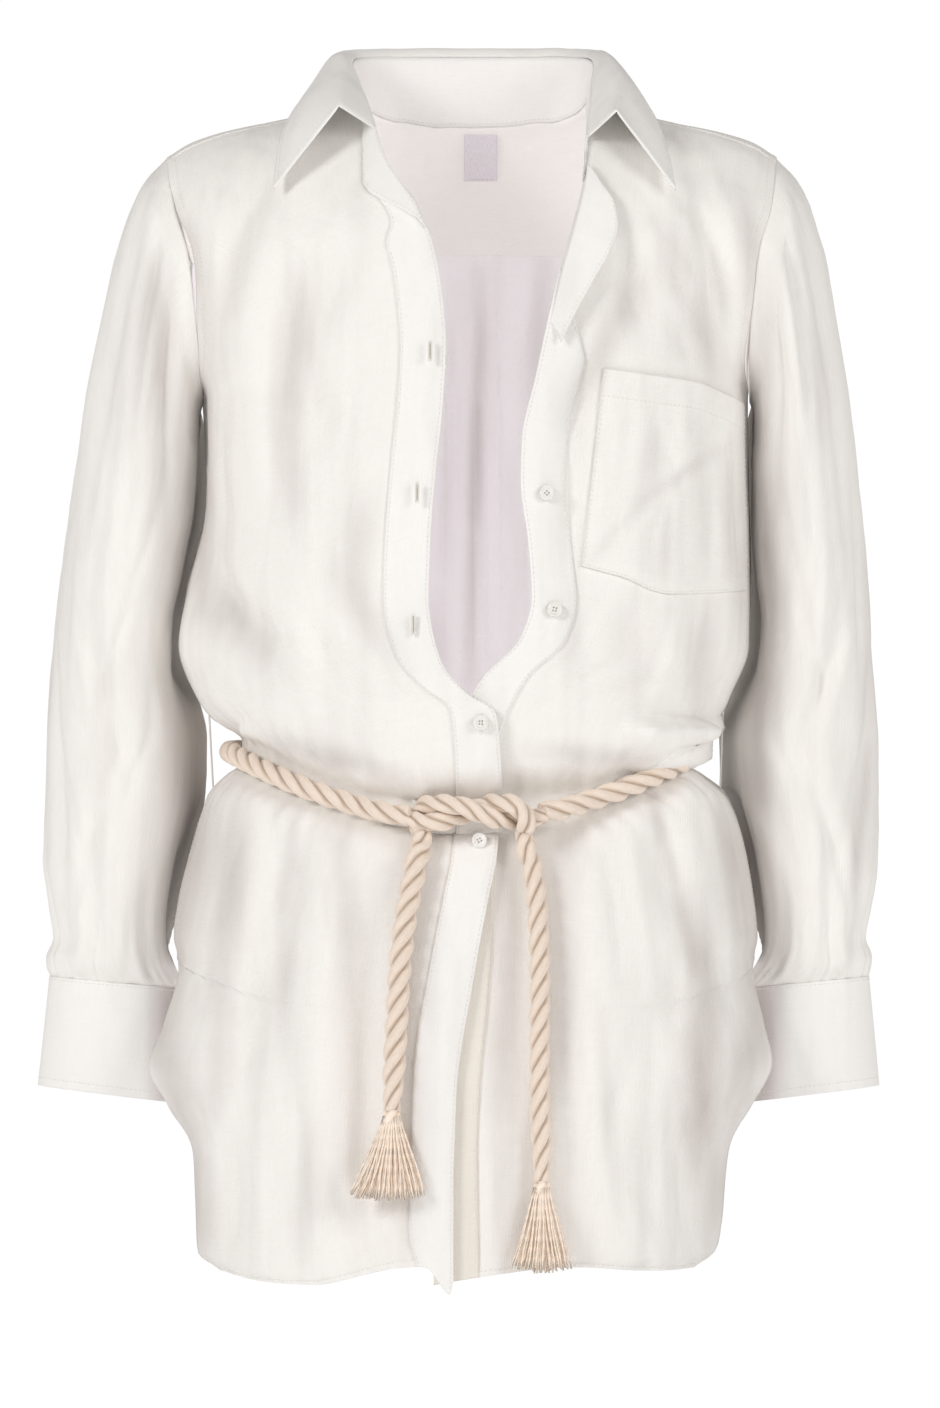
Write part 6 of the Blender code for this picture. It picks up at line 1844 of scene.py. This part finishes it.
x = np.linspace(LABEL[0], LABEL[1], 24)[None, :]
z = np.linspace(LABEL[2], LABEL[3], 30)[:, None]
angle, down = body_place(x + 0 * z, z + 0 * x, False)
bow = np.sin(math.pi * (z - LABEL[2]) / (LABEL[3] - LABEL[2])) + 0 * x
grid = on_body(angle, -down, -1.3 - 0.9 * bow)
shape = bmesh.new()
sheet = shell(shape, grid, 0.5, grid + (0, 20, 0), hems=(("top", 3.0, 0.25), ("foot", 3.0, 0.25)))
piece = finished("neck_label_blank", shape, ["neck_label"], [satin])
for edge in ("top", "foot"):
    thread_line(sheet, edge, 1.5)
flat, area = cut_of(grid)


# Belt loops
# A chain of white thread at each side seam, through which the rope runs.

LOOP_HEIGHTS = (-380.0, -428.0)
PLY = 0.72
for worn, out in (("right", -1.0), ("left", 1.0)):
    heights = np.array(LOOP_HEIGHTS)
    stand = half_width(np.full(2, out * 160), heights, np.array([False, False])) + CLOTH / 2 + SEAM_GAP + 1.1
    down_way = np.linspace(0, 1, 60)
    x = out * np.interp(down_way, [0, 1], stand)
    path = np.stack([x, 0 * x, LOOP_HEIGHTS[0] + (LOOP_HEIGHTS[1] - LOOP_HEIGHTS[0]) * down_way], -1)
    shape = bmesh.new()
    shape.loops.layers.uv.new("UVMap")
    for ply in range(3):
        turn = ply * 2 * math.pi / 3 + path[:, 2] * 1.7
        line = path + np.stack([np.cos(turn), np.sin(turn), 0 * turn], -1) * PLY / 2
        side_way, across_way, _ = along(line)
        round_ply = np.linspace(0, 2 * math.pi, 6, endpoint=False)
        tube(shape, [
            corners_of(shape, ring_about(p, s, w, round_ply, PLY / 2))
            for p, s, w in zip(line, side_way, across_way)])
    loop = finished("thread_loop_" + worn, shape, ["belt_loop_" + worn], [thread_white])


# Sewing
# White thread in short even stitches along every seam and hem, and buttonholes worked in close
# stitches down the right band, at the end of the stand and under the fastened buttons.

STITCH = 2.2
STITCH_STEP = 3.1


def stitch(shape, begin, end, outward, thick, rise):
    """One stitch: a short thread that dips into the cloth at both ends."""
    ahead = end - begin
    side = np.cross(ahead, outward)
    side /= max(np.linalg.norm(side), 1e-9)
    rings = []
    for place, high, wide in ((0.0, -0.12, 0.55), (0.3, rise, 1.0), (0.7, rise, 1.0), (1.0, -0.12, 0.55)):
        middle = begin + ahead * place + outward * high
        square = ((1, 0), (0, 0.8), (-1, 0), (0, -0.8))
        rings.append(corners_of(shape, [middle + (side * a + outward * b) * thick * wide for a, b in square]))
    tube(shape, rings)


shape = bmesh.new()
for points, ways in seam_lines:
    far = distances(points)
    starts = np.arange(1.5, far[-1] - STITCH - 1.5, STITCH_STEP)
    lines = [
        np.stack([np.interp(at, far, values[:, i]) for i in range(3)], -1)
        for at in (starts, starts + STITCH) for values in (points, ways)
    ]
    for begin, begin_way, end, end_way in zip(*lines):
        way = begin_way + end_way
        stitch(shape, begin, end, way / max(np.linalg.norm(way), 1e-9), 0.24, 0.16)
finished("seam_stitches", shape, [], [thread_white])

# Each buttonhole: its middle, its way along and its outward direction
HOLE_LONG = 11.0
holes = []
for x, z in ((-22.5, -146), (-30.5, -237), (-33, -322), (10, -385), (9, -461)):
    angle, down = body_place(np.array([x, x, x]), np.array([z, z + 3.0, z - 3.0]))
    lap = lap_lift(np.array([x] * 3))
    upright = on_body(angle, down, 2.2 + lap, 0.45)
    holes.append((upright[0], upright[1] - upright[2], off_body(angle, down, lap)[1][0]))
end_at = neck_line(np.array([0.55]))[0]
end_top = collar_line("top", np.array([0.55]))[0]
end_near, end_far = neck_line(np.array([0.3]))[0], neck_line(np.array([0.8]))[0]
end_out = np.cross(end_far - end_near, end_top - end_at)
end_out *= -np.sign(end_out[1]) / np.linalg.norm(end_out)
holes.append(((end_at + end_top) / 2 + end_out * 1.1, end_far - end_near, end_out))

# Painted shade: a dark beige strip along the middle of each buttonhole stands for the shade in its slit
slit_shade_tint, slit_skin, link = material_of("buttonhole_slit_shade", Roughness=0.9)
slit_place = node_of(slit_shade_tint, "ShaderNodeTexCoord")
slit_noise = node_of(slit_shade_tint, "ShaderNodeTexNoise", Scale=1500.0)
link(slit_place.outputs["Object"], slit_noise.inputs["Vector"])
slit_shade_ramp = tint_of(slit_shade_tint, (0.36, 0.29, 0.20), (0.62, 0.54, 0.40))
link(slit_noise.outputs["Fac"], slit_shade_ramp.inputs["Fac"])
link(slit_shade_ramp.outputs["Color"], slit_skin.inputs["Base Color"])

shape = bmesh.new()
for middle, way, outward in holes:
    way = way / np.linalg.norm(way)
    outward = outward / np.linalg.norm(outward)
    side = np.cross(way, outward)
    for i in range(46):
        place = (i % 23) / 22 - 0.5
        hand = 1 if i < 23 else -1
        root = middle + way * place * HOLE_LONG + side * hand * 0.28
        stitch(shape, root, root + side * hand * 1.15, outward, 0.27, 0.12)
    for end in (-0.5, 0.5):
        for i in range(4):
            root = middle + way * (end * (HOLE_LONG + 0.8 + 0.5 * i)) - side * 1.3
            stitch(shape, root, root + side * 2.6, outward, 0.27, 0.14)
    # The dark strip of painted shade in the slit
    before = len(shape.faces)
    stitch(shape, middle - way * HOLE_LONG * 0.5, middle + way * HOLE_LONG * 0.5, outward, 0.34, -0.1)
    shape.faces.ensure_lookup_table()
    for face in shape.faces[before:]:
        face.material_index = 1
finished("buttonhole_stitches", shape, [], [thread_white, slit_shade_tint])
